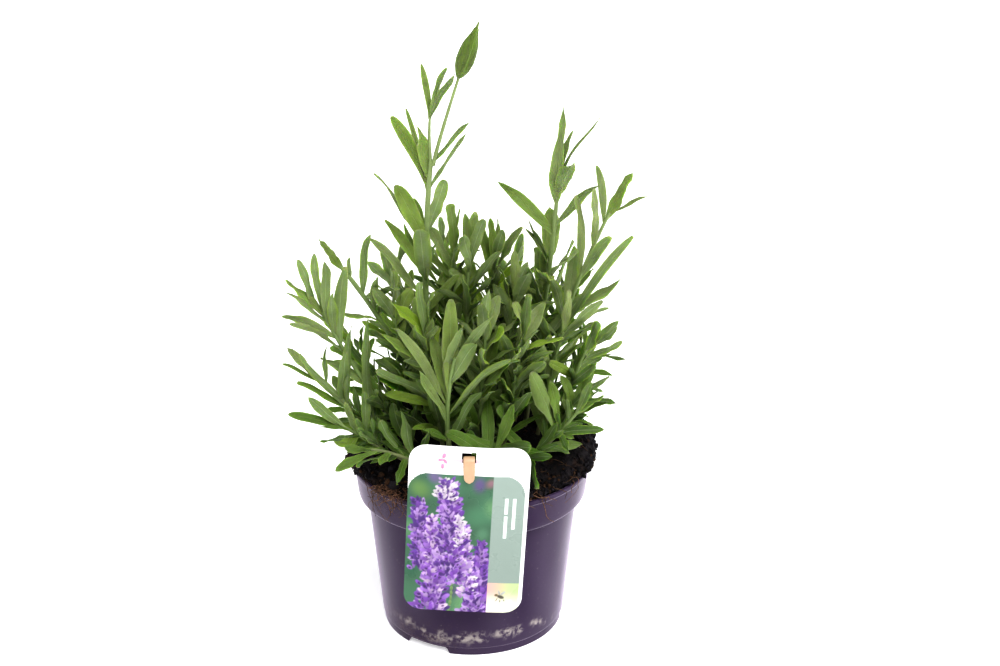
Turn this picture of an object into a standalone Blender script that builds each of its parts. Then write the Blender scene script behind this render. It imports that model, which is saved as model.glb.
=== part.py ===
"""Young lavender in a 13 cm nursery pot, with soil, a printed care label and its peg.

Frame: +Z up, metres. The origin is the middle of the pot's underside, where it stands.
The label faces -Y. Lengths in the tables are millimetres, MM turns them into metres.
"""
import math

import bmesh
import bpy
import numpy as np
from mathutils import Matrix, Vector
from mathutils.bvhtree import BVHTree

MM = 0.001
GAP = 0.3                    # clearance between neighbouring pieces

# Pot
POT_TOP_RADIUS = 65.0
POT_HEIGHT = 95.0
POT_WALL = 1.2
POT_SEGMENTS = 36
COLLAR_BOTTOM = 76.7         # the collar is the wide band that the fingers hold
COLLAR_LOW_RADIUS = 62.3
BODY_TOP_RADIUS = 57.5
BODY_LOW_RADIUS = 51.0
FOOT_RADIUS = 50.2
FOOT_HEIGHT = 4.5
FLOOR_THICKNESS = 1.5
PAD_RADIUS = 12.0            # middle pad under the floor, level with the foot ring
HOLE_RADIUS = 4.5
HOLE_CIRCLE = 33.0
HOLE_COUNT = 6
HOLE_TURN = 0.43             # turns the ring of holes, in steps from hole to hole
NOTCH_COUNT = 3              # gaps in the foot ring that let water out
NOTCH_WIDTH = 24.0
NOTCH_HEIGHT = 3.6
NOTCH_FIRST = math.radians(-118.7)

# Soil
SOIL_TOP = 107.0
SOIL_FLAT_RADIUS = 46.0
SOIL_SEGMENTS = 24
ROOT_Z = SOIL_TOP + GAP

# Label card and peg
CARD_WIDTH = 61.0
CARD_HEIGHT = 93.0
CARD_THICKNESS = 0.6
CARD_CORNER = 9.0
CARD_LEAN = math.radians(3.3)
CARD_CENTRE = (-1.8, -66.0, 83.0)
SLOT_WIDTH = 7.0
SLOT_BOTTOM = 121.0
SLOT_HEIGHT = 5.4
PEG_WIDTH = 5.8
PEG_THICKNESS = 1.1
PEG_POINT_Y = -52.0
PEG_POINT_Z = 66.0
PEG_RIM_Y = -61.0
PEG_RIM_Z = 96.5
PEG_TONGUE_Y = -67.9
PEG_BEND_Z = 121.3
PEG_TONGUE_END_Z = 110.6

# Flower bud on its stalk
BUD_BASE = (-5.2, -3.0, 301.6)
BUD_TIP = (5.0, -5.0, 329.0)
BUD_RADIUS = 4.8

# Plant
LEAF_THICKNESS = 1.0
LEAF_STATIONS = (0.14, 0.64)
LEAF_FOOT = 1.2              # how deep a leaf's foot sits past the stem's middle line
LEAF_BOW = 0.08              # how far a leaf's middle stands off its chord, per length
STEM_SIDES = 5
STEM_STATIONS = (0.0, 0.34, 0.67, 1.0)
STEM_TAPER = 0.35
NUDGES_Y = (0, 3, -3, 6, -6, 10, -10, 14, -14)
TURNS = (0, 20, -20, 40, -40)
SEED = 7

# Every shoot: its stem as root, elbow and tip, its thickness, its crossing leaf pairs as (count, first
# and last place along the stem, length, width, turn about the stem), and its placed leaves as (place
# along the stem, tip x, y, z, width, roll about the leaf's own line). Leaves with one node grow as one.
SHOOTS = {
    "tall_left": dict(stem=((-20, 5, ROOT_Z), (-28, 7, 185), (-20, 2, 258)), thick=3.6,
        pairs=(4, 0.12, 0.52, 44, 7.5, 20),
        leaves=((0.9, -40, 5, 281, 7.5, 80), (0.93, -27, -2, 278, 8.5, 70),
                (0.86, -33, 12, 284, 3.5, 30), (0.99, 0, 9, 277, 4, 75), (0.9, -1, -1, 274, 4, 40),
                (0.68, -39, 6, 245, 10, 70), (0.7, -51, 16, 249, 4, 20), (0.72, -13, 9, 247, 9.5, 85),
                (0.56, -25, -22, 229, 11, 0), (0.58, -45, 8, 226, 6.5, 60), (0.7, -30, 14, 236, 5, 0),
                (0.5, -52, -6, 220, 6.5, 60))),
    "tall_left_fork": dict(node="tall_left", stem=((-20, 2, 256), (-21, 1, 270), (-20, 0, 281)), thick=1.8,
        pairs=None,
        leaves=((0.96, -24, 1, 308, 4, 60), (0.98, -11, 0, 306, 5, 70), (1, -7, -5, 304, 4.5, 60))),
    "flower_stalk": dict(node="tall_left", stem=((-19, 2, 256), (-15, 0, 272), (-5.2, -3, 301.6)), thick=2,
        pairs=None,
        leaves=()),
    "tall_right": dict(stem=((28, 9, ROOT_Z), (43, 16, 190), (45, 5, 245)), thick=2.8,
        pairs=(4, 0.12, 0.56, 44, 8, 60),
        leaves=((0.9, 47, 3, 288, 9.5, 45), (0.95, 53, -7, 259, 10.5, 20), (1, 53, 10, 273, 5, 15),
                (1, 68, 12, 281, 2.4, -5), (0.76, 14, 5, 247, 7.5, 80), (0.8, 67, 5, 245, 6.5, 70),
                (0.66, 42, 22, 229, 12, 0), (0.62, 29, 22, 217, 3.5, 0), (0.55, 37, -11, 203, 12, 0))),
    "right_arch": dict(stem=((36, 12, ROOT_Z), (45, 9, 172), (72, 5, 230)), thick=2.6,
        pairs=(3, 0.15, 0.5, 42, 7.5, 45),
        leaves=((0.97, 84, 8, 251, 9, 25), (1, 92, 5, 239, 3, -30), (0.95, 65, 8, 255, 5, 70),
                (0.84, 63, -5, 246, 7, 75), (0.7, 54, 1, 241, 6, 75), (0.68, 73, 0, 219, 7, 70),
                (0.4, 84, -8, 222, 5.5, 75), (0.52, 55, 18, 209, 8.5, 40))),
    "right_mid": dict(stem=((35, -3, ROOT_Z), (40, -3, 140), (49, -5, 168)), thick=2.3,
        pairs=(3, 0.2, 0.75, 36, 7, 0),
        leaves=((1, 69, -6, 186, 6.5, 70), (0.95, 73, 0, 180, 5, 80), (0.9, 62, -12, 172, 5, 40),
                (0.98, 51, -6, 192, 6.5, 60))),
    "right_upright": dict(stem=((42, -8, ROOT_Z), (50, -6, 132), (61, -5, 158)), thick=2.2,
        pairs=(2, 0.25, 0.6, 32, 6.5, 10),
        leaves=((0.95, 67, -8, 175, 8.5, 35), (0.85, 80, -5, 163, 6, 60), (0.75, 70, 0, 152, 4.5, 85),
                (0.7, 41, -12, 154, 6.5, 70), (0.6, 52, -15, 152, 5.5, 5))),
    "right_low": dict(stem=((39, -17, ROOT_Z), (46, -17, 122), (56, -15, 134)), thick=2,
        pairs=(3, 0.24, 0.8, 28, 6, 70),
        leaves=((0.95, 73, -12, 146, 5.5, 60), (0.95, 77, -19, 133, 6, 60),
                (0.9, 65, -5, 146, 4.5, 40), (0.85, 47, -10, 147, 6.5, 60),
                (0.7, 62, -20, 126, 4.5, 40), (0.05, 31, -22, 141, 8, 80), (0.25, 54, -26, 120, 6, 40),
                (0.45, 61, -24, 129, 6, 50))),
    "front_right": dict(stem=((24, -36, ROOT_Z), (42, -34, 116), (60, -26, 137)), thick=2,
        pairs=(3, 0.29, 0.85, 26, 6.5, 30),
        leaves=((0.55, 31, -31, 156, 11, 55), (0.6, 51, -40, 114, 5.5, 55),
                (0.62, 41, -28, 150, 8, 60), (0.05, -7, -50, 129, 7.5, 50),
                (0.15, 14, -42, 132, 6, 60), (0.15, 34, -59, 103, 9, 25),
                (0.1, 42, -46, 115, 5.5, 30))),
    "front_centre": dict(stem=((-9, -40, ROOT_Z), (-15, -42, 140), (-7, -43, 168)), thick=2.8,
        pairs=None,
        leaves=((0.62, -9, -38, 198, 10, 0), (0.66, -3, -46, 187, 9.5, 20), (0.9, 12, -45, 191, 6, 70),
                (0.75, 4, -52, 179, 9, 60), (0.55, -36, -48, 186, 6, 75),
                (0.45, 21, -42, 167, 5.5, 70), (0.6, -20, -30, 175, 8, 30),
                (0.35, -25, -50, 164, 6.5, 60), (0.22, 6, -44, 150, 8, 50),
                (0.22, -24, -50, 132, 5.5, 40))),
    "left_arch": dict(stem=((-27, -10, ROOT_Z), (-55, -24, 140), (-76, -18, 184)), thick=2.6,
        pairs=(3, 0.14, 0.5, 32, 7, 0),
        leaves=((0.98, -94, -20, 202, 7, 60), (0.93, -94, -26, 197, 5, 60),
                (0.95, -88, -14, 211, 6.5, 70), (1, -80, -10, 213, 6, 70),
                (0.92, -73, -25, 213, 6.5, 70), (0.8, -63, -19, 209, 8, 80),
                (0.84, -97, -20, 182, 6.5, 60), (0.74, -92, -28, 181, 5.5, 40),
                (0.86, -69, -30, 198, 6.5, 60))),
    "left_branch": dict(stem=((-15, 2, ROOT_Z), (-36, 0, 160), (-68, 0, 203)), thick=3.4,
        pairs=(3, 0.2, 0.62, 34, 7.5, 30),
        leaves=((0.98, -79, 2, 217, 7.5, 50), (0.82, -52, 5, 219, 6, 70), (0.95, -74, 6, 211, 3, 30),
                (0.92, -63, 1, 208, 3, 60), (0.8, -36, -12, 194, 7.5, 60), (0.72, -49, -8, 198, 5, 60))),
    "left_low": dict(stem=((-28, -20, ROOT_Z), (-58, -26, 124), (-76, -25, 146)), thick=2.2,
        pairs=(3, 0.24, 0.62, 28, 7, 60),
        leaves=((0.95, -94, -25, 167, 6.5, 20), (1, -98, -20, 156, 2.5, 40),
                (0.55, -87, -31, 166, 4.5, 40), (0.97, -74, -19, 166, 4, 50),
                (0.7, -61, -19, 177, 5.5, 70), (0.75, -63, -28, 166, 6.5, 60),
                (0.42, -53, -14, 180, 6.5, 70), (0.66, -90, -26, 148, 4.5, 40),
                (0.1, -40, -27, 137, 7.5, 80), (0.06, -28, -30, 137, 5.5, 80),
                (0.35, -52, -20, 135, 6, 70), (0.5, -63, -36, 132, 5.5, 20))),
    "left_bottom": dict(stem=((-24, -37, ROOT_Z), (-48, -43, 119), (-68, -39, 131)), thick=2.1,
        pairs=(3, 0.29, 0.7, 26, 6.5, 45),
        leaves=((0.92, -83, -36, 144, 6.5, 60), (0.85, -94, -35, 134, 5.5, 60),
                (0.8, -77, -42, 130, 4, 40), (0.6, -55, -28, 144, 6, 70),
                (0.7, -64, -44, 118, 5.5, 40), (0.15, -45, -30, 127, 6.5, 70))),
    "front_left": dict(stem=((-18, -43, ROOT_Z), (-34, -49, 119), (-50, -50, 121)), thick=2,
        pairs=None,
        leaves=((0.9, -68, -57, 112, 6.5, 50), (0.95, -64, -46, 120, 5.5, 40),
                (0.45, -37, -56, 104, 7, 30), (0.5, -46, -40, 133, 6.5, 60),
                (0.2, -20, -53, 133, 5.5, 60), (0.7, -45, -58, 116, 6, 60),
                (0.3, -36, -36, 138, 7.5, 75), (0.12, -46, -38, 122, 6.5, 30))),
    "centre_a": dict(stem=((-7, 12, ROOT_Z), (-12, 16, 160), (-10, 15, 206)), thick=2.4,
        pairs=(7, 0.04, 0.9, 42, 8, 25),
        leaves=((0.97, -11, 14, 233, 9, 60), (0.97, -6, 19, 229, 3, 5))),
    "centre_b": dict(stem=((0, 4, ROOT_Z), (-4, 8, 160), (-1, 8, 204)), thick=2.4,
        pairs=(7, 0.07, 0.92, 40, 8, 70),
        leaves=((0.98, -3, 10, 229, 6.5, 60), (0.96, 7, 5, 227, 7.5, 60))),
    "centre_c": dict(stem=((7, 16, ROOT_Z), (12, 18, 155), (12, 16, 200)), thick=2.4,
        pairs=(7, 0.07, 0.92, 38, 8, 10),
        leaves=((0.98, 10, 15, 225, 6.5, 60), (0.98, 14, 24, 222, 4.5, 30), (0.94, 17, 6, 221, 7, 60))),
    "centre_d": dict(stem=((14, 2, ROOT_Z), (20, 4, 150), (23, 4, 186)), thick=2.3,
        pairs=(6, 0.07, 0.9, 38, 8, 50),
        leaves=((0.98, 23, 5, 210, 6.5, 60), (0.98, 30, 4, 204, 5.5, 60))),
    "front_low": dict(stem=((4, -42, ROOT_Z), (8, -47, 114), (14, -49, 121)), thick=2,
        pairs=None,
        leaves=((0.5, -12, -52, 133, 8.5, 30), (0.9, 31, -57, 125, 9, 65), (0.8, 41, -52, 119, 6, -10),
                (0.95, 22, -40, 142, 7, 60), (0.4, 9, -36, 140, 8, 30), (0.15, -1, -44, 128, 7, 60))),
    "inner_front_a": dict(stem=((-14, -22, ROOT_Z), (-20, -28, 145), (-24, -28, 178)), thick=2.3,
        pairs=(7, 0.07, 0.95, 38, 8, 15),
        leaves=((0.97, -25, -27, 203, 7.5, 75), (0.35, -44, -36, 146, 6, 60),
                (0.05, -17, -30, 145, 7, 80), (0.05, -26, -26, 140, 6.5, 70))),
    "inner_front_b": dict(stem=((2, -24, ROOT_Z), (6, -30, 140), (8, -30, 176)), thick=2.3,
        pairs=(7, 0.07, 0.95, 38, 8, 60),
        leaves=((0.97, 10, -30, 200, 7.5, 60), (0.03, -4, -31, 145, 8.5, 80),
                (0.05, 6, -30, 140, 7.5, 70))),
    "inner_front_c": dict(stem=((16, -20, ROOT_Z), (22, -24, 140), (27, -22, 170)), thick=2.3,
        pairs=(7, 0.07, 0.95, 36, 8, 30),
        leaves=((0.97, 30, -22, 195, 7.5, 5), (0.03, 26, -30, 141, 9, 80),
                (0.12, 14, -34, 142, 6.5, 90))),
    "inner_left": dict(stem=((-24, -2, ROOT_Z), (-36, -6, 140), (-40, -6, 176)), thick=2.3,
        pairs=(6, 0.12, 0.95, 36, 7.5, 70),
        leaves=((0.97, -40, -6, 201, 7, 45),)),
    "inner_right": dict(stem=((22, 14, ROOT_Z), (34, 20, 150), (38, 18, 186)), thick=2.3,
        pairs=(6, 0.12, 0.95, 38, 8, 20),
        leaves=((0.97, 40, 18, 210, 7, 45),)),
    "back_a": dict(stem=((-20, 22, ROOT_Z), (-34, 38, 145), (-44, 46, 178)), thick=2.3,
        pairs=(7, 0.12, 0.95, 38, 7.5, 10),
        leaves=((0.97, -50, 50, 200, 7, 45),)),
    "back_b": dict(stem=((-6, 28, ROOT_Z), (-12, 44, 150), (-16, 54, 190)), thick=2.3,
        pairs=(7, 0.12, 0.95, 38, 7.5, 50),
        leaves=((0.97, -18, 58, 214, 7, 45),)),
    "back_c": dict(stem=((10, 28, ROOT_Z), (18, 46, 145), (24, 56, 180)), thick=2.3,
        pairs=(7, 0.12, 0.95, 38, 7.5, 80),
        leaves=((0.97, 28, 60, 204, 7, 45),)),
    "back_d": dict(stem=((24, 24, ROOT_Z), (38, 38, 140), (50, 44, 168)), thick=2.3,
        pairs=(6, 0.12, 0.95, 36, 7.5, 35),
        leaves=((0.97, 58, 48, 190, 7, 90),)),
    "back_low_left": dict(stem=((-30, 12, ROOT_Z), (-50, 24, 124), (-68, 32, 148)), thick=2.1,
        pairs=(4, 0.29, 0.95, 32, 7, 20),
        leaves=((0.97, -84, 38, 162, 6.5, 45),)),
    "back_low_mid": dict(stem=((2, 34, ROOT_Z), (4, 54, 120), (6, 68, 142)), thick=2.1,
        pairs=(4, 0.29, 0.95, 32, 7, 70),
        leaves=((0.97, 8, 82, 158, 6.5, 45),)),
    "back_low_right": dict(stem=((32, 16, ROOT_Z), (52, 30, 122), (68, 38, 144)), thick=2.1,
        pairs=(4, 0.29, 0.95, 32, 7, 0),
        leaves=((0.97, 82, 42, 158, 6.5, 45),)),
}


def clear_scene():
    for item in list(bpy.data.objects):
        bpy.data.objects.remove(item)


def make_material(name, colour, roughness, metallic=0.0):
    mat = bpy.data.materials.new(name)
    mat.use_nodes = True
    shader = mat.node_tree.nodes["Principled BSDF"]
    shader.inputs["Base Color"].default_value = (*colour, 1.0)
    shader.inputs["Roughness"].default_value = roughness
    shader.inputs["Metallic"].default_value = metallic
    return mat


def object_from_bmesh(bm, name, mat=None):
    bmesh.ops.recalc_face_normals(bm, faces=bm.faces)
    mesh = bpy.data.meshes.new(name)
    bm.to_mesh(mesh)
    bm.free()
    obj = bpy.data.objects.new(name, mesh)
    bpy.context.scene.collection.objects.link(obj)
    if mat:
        mesh.materials.append(mat)
    return obj


def loft(bm, rings):
    """Close a row of point rings into one skin; a ring of one point is a tip."""
    rows = [[bm.verts.new(Vector(p) * MM) for p in ring] for ring in rings]
    for low, high in zip(rows, rows[1:]):
        count = max(len(low), len(high))
        for i in range(count):
            j = (i + 1) % count
            if len(high) == 1:
                bm.faces.new((low[i], low[j], high[0]))
            elif len(low) == 1:
                bm.faces.new((low[0], high[j], high[i]))
            else:
                bm.faces.new((low[i], low[j], high[j], high[i]))
    for row in (rows[0], rows[-1]):
        if len(row) > 1:
            bm.faces.new(row)


def circle(radius, z, segments):
    angles = (2 * math.pi * i / segments for i in range(segments))
    return [(radius * math.cos(a), radius * math.sin(a), z) for a in angles]


def lathe(name, profile, segments, mat=None):
    """Turn a profile of (radius, z) about Z; radius 0 closes on the axis."""
    bm = bmesh.new()
    rings = [circle(r, z, segments) if r > 0 else [(0, 0, z)] for r, z in profile]
    loft(bm, rings)
    return object_from_bmesh(bm, name, mat)


def cut(target, cutter):
    cutter.hide_render = True
    cutter.display_type = "WIRE"
    mod = target.modifiers.new(cutter.name, "BOOLEAN")
    mod.operation = "DIFFERENCE"
    mod.solver = "EXACT"
    mod.object = cutter


def block(name, centre, size, turn=0.0):
    bm = bmesh.new()
    bmesh.ops.create_cube(bm, size=1.0)
    place = Matrix.Rotation(turn, 4, "Z") @ Matrix.Translation(Vector(centre) * MM)
    bmesh.ops.transform(bm, matrix=place @ Matrix.Diagonal((*(Vector(size) * MM), 1)), verts=bm.verts)
    return object_from_bmesh(bm, name)


def make_pot(mat):
    """Thin wall with a step-out collar, a rolled rim, a raised floor and a notched foot ring."""
    foot_inside = FOOT_RADIUS - POT_WALL
    low_inside = BODY_LOW_RADIUS - POT_WALL
    floor_top = FOOT_HEIGHT + FLOOR_THICKNESS
    profile = (
        (0, 0), (PAD_RADIUS, 0), (PAD_RADIUS, FOOT_HEIGHT), (foot_inside, FOOT_HEIGHT),
        (foot_inside, 0), (FOOT_RADIUS, 0), (FOOT_RADIUS, FOOT_HEIGHT - 0.3), (BODY_LOW_RADIUS, FOOT_HEIGHT),
        (BODY_TOP_RADIUS, COLLAR_BOTTOM - 0.6), (COLLAR_LOW_RADIUS, COLLAR_BOTTOM),
        (POT_TOP_RADIUS - 0.9, POT_HEIGHT - 2.6), (POT_TOP_RADIUS, POT_HEIGHT - 1.9),
        (POT_TOP_RADIUS, POT_HEIGHT - 0.7), (POT_TOP_RADIUS - 0.6, POT_HEIGHT),
        (POT_TOP_RADIUS - 2.0, POT_HEIGHT - 0.2), (COLLAR_LOW_RADIUS - POT_WALL, COLLAR_BOTTOM + 1.0),
        (BODY_TOP_RADIUS - POT_WALL, COLLAR_BOTTOM - 1.4), (low_inside, floor_top), (0, floor_top),
    )
    pot = lathe("pot", profile, POT_SEGMENTS, mat)
    for i in range(HOLE_COUNT):
        angle = 2 * math.pi * (i + HOLE_TURN) / HOLE_COUNT
        spot = Vector((math.cos(angle), math.sin(angle), 0)) * HOLE_CIRCLE * MM
        spot.z = (FOOT_HEIGHT + FLOOR_THICKNESS / 2) * MM
        bm = bmesh.new()
        bmesh.ops.create_cone(bm, cap_ends=True, segments=8, radius1=HOLE_RADIUS * MM, depth=10 * MM,
                              radius2=HOLE_RADIUS * MM, matrix=Matrix.Translation(spot))
        cut(pot, object_from_bmesh(bm, f"drain_hole_{i + 1}"))
    for i in range(NOTCH_COUNT):
        turn = NOTCH_FIRST + 2 * math.pi * i / NOTCH_COUNT
        size = (8.0, NOTCH_WIDTH, 2 * NOTCH_HEIGHT)
        cut(pot, block(f"foot_notch_{i + 1}", (FOOT_RADIUS, 0, 0), size, turn))
    return pot


def heap_share(angle):
    """0 at the label side, where the soil meets the rim, 1 where it heaps over the rim."""
    share = min(max((math.sin(angle) + 0.78) / 0.5, 0.0), 1.0)
    return share * share * (3 - 2 * share)


def soil_ring(radius, z, spread, rise, lump):
    """A ring that moves out by spread and up by rise where the soil is heaped."""
    ring = []
    for i in range(SOIL_SEGMENTS):
        a = 2 * math.pi * i / SOIL_SEGMENTS
        share = heap_share(a)
        bump = lump * share * (math.sin(5 * a + 1.0) + 0.6 * math.sin(9 * a))
        r = radius + spread * share + 0.5 * bump
        ring.append((r * math.cos(a), r * math.sin(a), z + rise * share + bump))
    return ring


def make_soil(mat):
    rim_clear = POT_TOP_RADIUS - 2.0 - 0.8
    low_inside = BODY_LOW_RADIUS - POT_WALL - 1.0
    rings = (
        [(0, 0, FOOT_HEIGHT + FLOOR_THICKNESS + GAP)],
        soil_ring(low_inside, FOOT_HEIGHT + FLOOR_THICKNESS + GAP, 0, 0, 0),
        soil_ring(BODY_TOP_RADIUS - POT_WALL - 1.0, COLLAR_BOTTOM - 1.6, 0, 0, 0),
        soil_ring(COLLAR_LOW_RADIUS - POT_WALL - 1.0, COLLAR_BOTTOM + 2.4, 0, 0, 0),
        soil_ring(rim_clear, POT_HEIGHT + 0.2, 0, 0.2, 0),
        soil_ring(rim_clear - 0.2, POT_HEIGHT + 0.6, 3.4, 0.1, 0),
        soil_ring(rim_clear - 0.8, POT_HEIGHT + 1.0, 5.2, 4.0, 0.5),
        soil_ring(59.5, 97.4, 1.5, 9.6, 0.8),
        soil_ring(54.5, 100.6, 0, 9.6, 0.9),
        soil_ring(SOIL_FLAT_RADIUS, SOIL_TOP, 0, 0, 0),
        [(0, 0, SOIL_TOP)],
    )
    bm = bmesh.new()
    loft(bm, rings)
    soil = object_from_bmesh(bm, "soil", mat)
    bm = bmesh.new()
    low, high = (PEG_POINT_Y, PEG_POINT_Z - 1.5), (PEG_RIM_Y - 2.7, PEG_RIM_Z + 9.0)
    loft(bm, strip_rings(((low[0] - 0.5, low[1]), (high[0], high[1])), PEG_WIDTH + 1.6, 3.6))
    cut(soil, object_from_bmesh(bm, "peg_slot"))
    return soil


def rounded_outline(width, height, corner, steps=5):
    points = []
    for quarter in range(4):
        cx = (width / 2 - corner) * (1, -1, -1, 1)[quarter]
        cz = (height / 2 - corner) * (1, 1, -1, -1)[quarter]
        for i in range(steps + 1):
            a = math.pi / 2 * (quarter + i / steps)
            points.append((cx + corner * math.cos(a), cz + corner * math.sin(a)))
    return points


def make_card(mat):
    """Flat card with round corners, leaning a little, and a slot that the peg hooks through."""
    bm = bmesh.new()
    outline = rounded_outline(CARD_WIDTH, CARD_HEIGHT, CARD_CORNER)
    lean = Matrix.Rotation(CARD_LEAN, 3, "Y")
    rings = []
    for y in (-CARD_THICKNESS / 2, CARD_THICKNESS / 2):
        rings.append([lean @ Vector((x, y, z)) + Vector(CARD_CENTRE) for x, z in outline])
    loft(bm, rings)
    card = object_from_bmesh(bm, "label_card", mat)
    cut(card, block("card_slot", (0, CARD_CENTRE[1], SLOT_BOTTOM + SLOT_HEIGHT / 2),
                    (SLOT_WIDTH, 4.0, SLOT_HEIGHT)))
    return card


def peg_path():
    """Side view of the peg as (y, z): point in the soil, up past the rim, over the card, tongue."""
    back_y = PEG_RIM_Y - 2.0
    middle, radius = (back_y + PEG_TONGUE_Y) / 2, (back_y - PEG_TONGUE_Y) / 2
    path = [(PEG_POINT_Y, PEG_POINT_Z), (PEG_RIM_Y, PEG_RIM_Z), (back_y, PEG_BEND_Z)]
    for i in range(1, 6):
        a = math.pi * i / 5
        path.append((middle + radius * math.cos(a), PEG_BEND_Z + 0.95 * radius * math.sin(a)))
    path.append((PEG_TONGUE_Y, PEG_TONGUE_END_Z))
    return path


def strip_rings(path, width, thickness, first=1.0, last=1.0):
    """Sections of a flat strip along a side view; first and last narrow its two ends."""
    rings = []
    for i, (y, z) in enumerate(path):
        before, after = path[max(i - 1, 0)], path[min(i + 1, len(path) - 1)]
        dy, dz = after[0] - before[0], after[1] - before[1]
        size = math.hypot(dy, dz)
        ny, nz = -dz / size * thickness / 2, dy / size * thickness / 2
        half = width / 2 * (first if i == 0 else last if i == len(path) - 1 else 1.0)
        rings.append([(-half, y - ny, z - nz), (half, y - ny, z - nz), (half, y + ny, z + nz),
                      (-half, y + ny, z + nz)])
    return rings


def make_peg(mat):
    bm = bmesh.new()
    loft(bm, strip_rings(peg_path(), PEG_WIDTH, PEG_THICKNESS, 0.35, 0.6))
    return object_from_bmesh(bm, "label_peg", mat)


def bezier(points, t):
    a, b, c = (np.array(p, float) for p in points)
    return (1 - t) ** 2 * a + 2 * t * (1 - t) * b + t * t * c


def tangent(points, t):
    a, b, c = (np.array(p, float) for p in points)
    return unit(2 * (1 - t) * (b - a) + 2 * t * (c - b))


def unit(v):
    return v / max(np.linalg.norm(v), 1e-9)


def stem_radius(thick, t):
    return thick / 2 * (1 - STEM_TAPER * t)


def stem_rings(points, thick):
    """Rings along a stem; the lowest ring is level, so that it stands on the soil."""
    rings = []
    for t in STEM_STATIONS:
        centre, along = bezier(points, t), tangent(points, t)
        side = unit(np.cross(along, (0.0, 1.0, 0.0)))
        other = np.cross(along, side)
        ring = []
        for i in range(STEM_SIDES):
            a = 2 * math.pi * i / STEM_SIDES
            p = centre + stem_radius(thick, t) * (math.cos(a) * side + math.sin(a) * other)
            if t == 0 and centre[2] <= ROOT_Z:
                p[2] = ROOT_Z
            ring.append(p)
        rings.append(ring)
    return rings


def blade_width(s):
    """Width along a leaf, from 0 to 1: a narrow foot, widest past the middle, a blunt tip."""
    return s ** 0.75 * (1 - s) ** 0.55 / 0.505


def leaf_rings(base, tip, along, width, roll, grow=0.0):
    """Lens-shaped sections along a bowed leaf; grow fattens it for the clearance test."""
    chord = tip - base
    length = np.linalg.norm(chord)
    outward = unit(chord - along * np.dot(chord, along))
    middle = base + chord / 2 + LEAF_BOW * length * (along - 0.5 * outward)
    curve = (base, middle, tip)
    level = unit(np.cross(along, outward))
    rings = [[base - LEAF_FOOT * tangent(curve, 0)]]
    for s in LEAF_STATIONS:
        ahead = tangent(curve, s)
        side = unit(level - ahead * np.dot(level, ahead))
        face = np.cross(side, ahead)
        a = math.radians(roll)
        across = math.cos(a) * side + math.sin(a) * face
        through = np.cross(across, ahead)
        half = max(width / 2 * blade_width(s), 0.9) + grow
        thick = LEAF_THICKNESS / 2 + grow
        p = bezier(curve, s)
        rings.append([p - half * across, p - thick * through, p + half * across, p + thick * through])
    rings.append([tip + grow * unit(chord)])
    return rings


def tree_of(rings):
    bm = bmesh.new()
    loft(bm, rings)
    tree = BVHTree.FromBMesh(bm)
    bm.free()
    return tree


def own_pairs(shoot, rng):
    """Leaf pairs that cross at right angles up the stem, as lavender's do."""
    if not shoot["pairs"]:
        return
    count, first, last, length, width, turn = shoot["pairs"]
    stem = shoot["stem"]
    for i in range(count):
        t = first + (last - first) * i / max(count - 1, 1)
        azimuth = turn + 90 * i + rng.uniform(-15, 15)
        for half_turn in (0, 180):
            spread = math.radians(rng.uniform(30, 48) - 12 * t)
            size = length * rng.uniform(0.8, 1.1) * (0.75 + 0.25 * math.sin(math.pi * min(t + 0.2, 1)))
            yield t, azimuth + half_turn, spread, size, width * rng.uniform(0.85, 1.1), rng.uniform(-70, 70)


def pair_tip(stem, t, azimuth, spread, size):
    along = tangent(stem, t)
    side = unit(np.cross(along, (0.0, 1.0, 0.3)))
    other = np.cross(along, side)
    a = math.radians(azimuth)
    out = math.cos(a) * side + math.sin(a) * other
    return bezier(stem, t) + size * (math.cos(spread) * along + math.sin(spread) * out)


def is_free(rings, key, taken):
    tree = tree_of(rings)
    return not any(other != key and tree.overlap(placed) for other, placed in taken)


def grow_leaves(taken):
    """Give every shoot its leaves; a leaf that would touch another shoot moves, or is left out."""
    rng = np.random.default_rng(SEED)
    leaves = {name: [] for name in SHOOTS}
    for name, shoot in SHOOTS.items():
        key = shoot.get("node", name)
        for t, x, y, z, width, roll in shoot["leaves"]:
            base, along = bezier(shoot["stem"], t), tangent(shoot["stem"], t)
            for nudge in NUDGES_Y:
                tip = np.array((x, y + nudge, z), float)
                if is_free(leaf_rings(base, tip, along, width, roll, GAP), key, taken):
                    rings = leaf_rings(base, tip, along, width, roll)
                    leaves[name].append(rings)
                    taken.append((key, tree_of(rings)))
                    break
    for name, shoot in SHOOTS.items():
        key = shoot.get("node", name)
        for t, azimuth, spread, size, width, roll in own_pairs(shoot, rng):
            base, along = bezier(shoot["stem"], t), tangent(shoot["stem"], t)
            for turn in TURNS:
                tip = pair_tip(shoot["stem"], t, azimuth + turn, spread, size)
                if is_free(leaf_rings(base, tip, along, width, roll, GAP), key, taken):
                    rings = leaf_rings(base, tip, along, width, roll)
                    leaves[name].append(rings)
                    taken.append((key, tree_of(rings)))
                    break
    return leaves


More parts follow.
